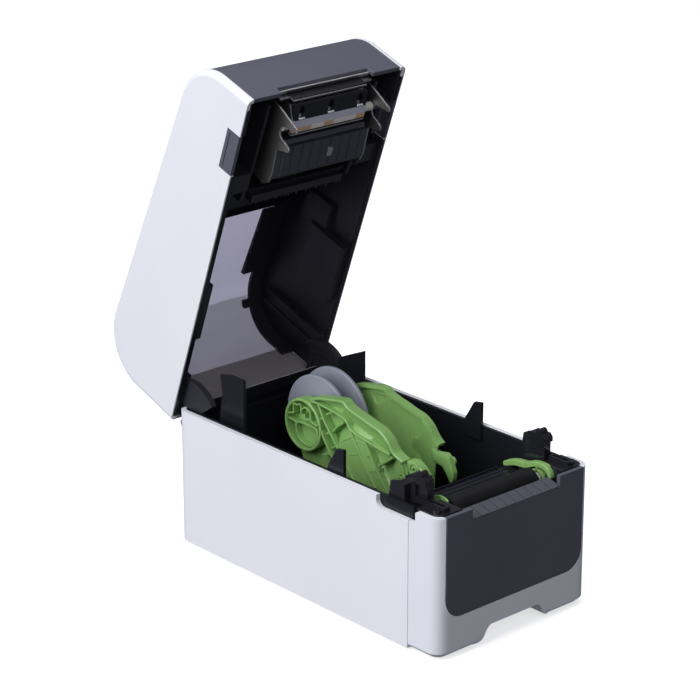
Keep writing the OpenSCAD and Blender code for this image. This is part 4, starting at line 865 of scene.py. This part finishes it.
def head_pieces():
    """Head cover with slots and ribs, white marks, bracket facing, heater strip, glaze and seal."""
    put = lambda h, x, y: opened(x, PLATEN_Y + y, BASE_H + h)
    bm = bmesh.new()
    face = [(-26, -13.7), (26, -13.7), (26, -4.5), (-26, -4.5)]
    slots = []
    for x in (-21, 0, 21):
        slots.append(circle_points(x, -10.4, 1.9, 9, 180, 360) + circle_points(x, -7.2, 1.9, 9, 0, 180))
    slope = lambda p: -3.9 - (p[1] + 13.7) * 0.19
    shell(bm, face, lambda p: slope(p) + 1.3, slope, 1.7, put, slots)
    for x in (-26, -15.5, -12.5, -5.5, 5.5, 8.5, 15.5):
        for i in range(8):
            y = -13.2 + i * 1.06
            block(bm, y, y + 1.07, x - 0.16, x + 0.16, slope((x, y)) - 0.2, slope((x, y)) + 0.3,
                  lambda a, b, c: put(c, b, a))
    # Black plate just behind the slots: painted shade, so that the slots read dark instead of showing the
    # metal behind them.
    block(bm, -25.5, 25.5, PLATEN_Y - 13, PLATEN_Y - 3, BASE_H - 3.0, BASE_H - 2.7, opened)
    cover = new_object("head_face", bm, "black_plastic", "head", 0.12)
    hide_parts("head_cover")
    bm = bmesh.new()
    for x in (-21, 0, 21):
        block(bm, x - 2.0, x + 2.0, PLATEN_Y - 6.0, PLATEN_Y - 5.3, BASE_H - 6.4, BASE_H - 5.3, opened)
    new_object("head_marks", bm, "white_plastic", "head", 0.1)
    bm = bmesh.new()
    block(bm, -26.2, 26.2, PLATEN_Y - 16.0, PLATEN_Y - 15.62, BASE_H - 1.5, BASE_H + 18, opened)
    block(bm, -26.2, 26.2, PLATEN_Y - 14.6, PLATEN_Y - 14.2, BASE_H - 1.4, BASE_H + 10, opened)
    new_object("bracket_facing", bm, "black_plastic", "head", 0.1)
    bm = bmesh.new()
    prism(bm, [(PLATEN_Y - 0.2, BASE_H - 5.0), (PLATEN_Y - 0.3, BASE_H - 6.2), (PLATEN_Y + 0.1, BASE_H - 6.4),
               (PLATEN_Y + 2.6, BASE_H - 6.4), (PLATEN_Y + 2.7, BASE_H - 5.0)], -26, 26, opened)
    tan = new_object("head_heater", bm, "ceramic", "head", 0.1)
    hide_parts("print_head")
    bm = bmesh.new()
    prism(bm, [(PLATEN_Y - 4.5, BASE_H - 4.8), (PLATEN_Y - 4.4, BASE_H - 5.7), (PLATEN_Y - 0.3, BASE_H - 6.3),
               (PLATEN_Y - 0.25, BASE_H - 4.8)], -26, 26, opened)
    pale = new_object("head_glaze", bm, "ceramic", "head", 0.1)
    pale.data.materials[0] = plastic("head_glaze", (0.55, 0.55, 0.66), 0.2, 300, 0.004, 0.1, 0.6)
    bm = bmesh.new()
    prism(bm, [(PLATEN_Y + 2.7, BASE_H - 4.8), (PLATEN_Y + 2.75, BASE_H - 6.2),
               (PLATEN_Y + 3.5, BASE_H - 6.3), (PLATEN_Y + 3.6, BASE_H - 4.8)], -25, 25, opened)
    new_object("head_seal", bm, "black_plastic", "head", 0.1)


head_pieces()


# ---------- platen release lever ----------

def release_lever():
    """Right-hand green lever: a smooth curved blade over the platen's end."""
    blade = chaikin([(-62.6, 73.4), (-63.6, 75.0), (-71.2, 77.9), (-79.6, 78.5), (-84.5, 81.0), (-92.8, 81.6),
                     (-97.4, 79.6), (-99.4, 75.4), (-98.0, 74.2), (-96.6, 75.4), (-94.6, 78.0), (-91.3, 78.9),
                     (-86.3, 78.4), (-79.7, 75.0), (-71.3, 74.6), (-63.6, 71.4)], 2, True)
    bm = bmesh.new()
    prism(bm, blade, 34.4, 38.4)
    prism(bm, [(-88.4, 79.6), (-88.0, 75.2), (-86.4, 75.2), (-86.6, 79.6)], 35.2, 37.4)
    obj = new_object("release_lever", bm, "green_plastic", "platen_lever_right", 0.7, 30, 3)
    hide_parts("platen_lever_right")
    bm = bmesh.new()
    rail(bm, circle_points(PLATEN_Y, 71.4, 4.8, 30), 1.0, 35.2, 39.6, lambda h, y, z: Vector((h, y, z)),
         closed=True, crown=0.3)
    new_object("release_collar", bm, "green_plastic", "platen_lever_right", 0)


release_lever()


# ---------- deck ahead of the roll ----------

def deck():
    """Paper path behind the platen: three ribs across it and four short ones at its rear."""
    bm = bmesh.new()
    prism(bm, [(-78.6, 69.0), (-78.4, 70.7), (-77.6, 71.0), (-70.8, 70.8), (-70.2, 71.5), (-68.8, 71.5),
               (-68.2, 70.8), (-60.4, 70.7), (-59.0, 69.4), (-60, 66.5), (-76, 67)], -32.0, 32.0)
    straight = lambda h, x, y: Vector((x, y, h))
    for y, low, high in ((-75.4, 70.6, 71.5), (-66.0, 70.4, 71.2), (-62.0, 70.4, 71.9)):
        rail(bm, [(-31.6, y), (0, y), (31.6, y)], 0.45, low, high, straight, crown=0.3)
    for x in (-24, -8, 8, 24):
        rail(bm, [(x, -65.0), (x, -60.6)], 0.4, 70.2, 71.1, straight, crown=0.25)
    new_object("deck_plate", bm, "black_plastic", "base", 0.2)


deck()


def rear_shade_strip():
    """Black strip over the groove in the case's rear wall, behind the lid's hinge: painted shade that darkens
    the wall's top where it lies in shade.
    """
    bm = bmesh.new()
    prism(bm, [(104.2, 68.9), (104.2, 72.7), (104.8, 73.0), (106.8, 72.5), (107.3, 71.5), (107.3, 65.9),
               (105.2, 65.9)], -51.5, 51.5)
    new_object("rear_shade_strip", bm, "black_plastic", "base", 0.1)


rear_shade_strip()


# ---------- studio ----------

def add_floor():
    mesh = bpy.data.meshes.new("floor")
    half = 30
    mesh.from_pydata([(-half, -half, 0), (half, -half, 0), (half, half, 0), (-half, half, 0)], [],
                     [(0, 1, 2, 3)])
    floor = bpy.data.objects.new("floor", mesh)
    floor.location.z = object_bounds()[0][2] - 0.0001
    bpy.context.scene.collection.objects.link(floor)
    n = Nodes("floor")
    n.set(Specular_IOR_Level=0.2, Emission_Strength=0.62)
    n.shader.inputs["Emission Color"].default_value = (1, 1, 1, 1)
    shade = n.ramp(n.noise(3, 2), [(0.3, (0.88, 0.88, 0.88)), (0.7, (0.9, 0.9, 0.9))])
    mesh.materials.append(n.finish(shade, n.span(n.noise(5, 2), 0.6, 0.7)))
    floor.visible_diffuse = False
    floor.visible_glossy = False


def add_light(name, place, aim, width, height, power, colour=(1, 1, 1)):
    data = bpy.data.lights.new(name, "AREA")
    data.shape = "RECTANGLE"
    data.size = width
    data.size_y = height
    data.energy = power
    data.color = colour
    light = bpy.data.objects.new(name, data)
    light.location = place
    light.rotation_euler = (Vector(aim) - Vector(place)).to_track_quat("-Z", "Y").to_euler()
    bpy.context.scene.collection.objects.link(light)


def add_studio():
    world = bpy.data.worlds.new("world")
    world.use_nodes = True
    back = world.node_tree.nodes["Background"]
    back.inputs["Color"].default_value = (0.88, 0.90, 1.0, 1)
    back.inputs["Strength"].default_value = 0.15
    scene = bpy.context.scene
    scene.world = world
    scene.view_settings.view_transform = "Standard"
    scene.view_settings.look = "None"
    add_floor()
    add_light("key", (-2.3, 0.12, 1.9), (0, 0, 0.1), 2.2, 2.2, 62, (0.98, 0.98, 1.0))
    add_light("side", (-2.0, 0.45, 0.30), (0, 0, 0.1), 1.2, 0.8, 14, (0.98, 0.98, 1.0))
    add_light("top", (0.1, 0.3, 1.6), (0, 0, 0.1), 1.2, 1.2, 11)
    add_light("front", (-0.6, -1.2, 0.9), (0, 0, 0.1), 0.8, 0.8, 3.2)


add_studio()
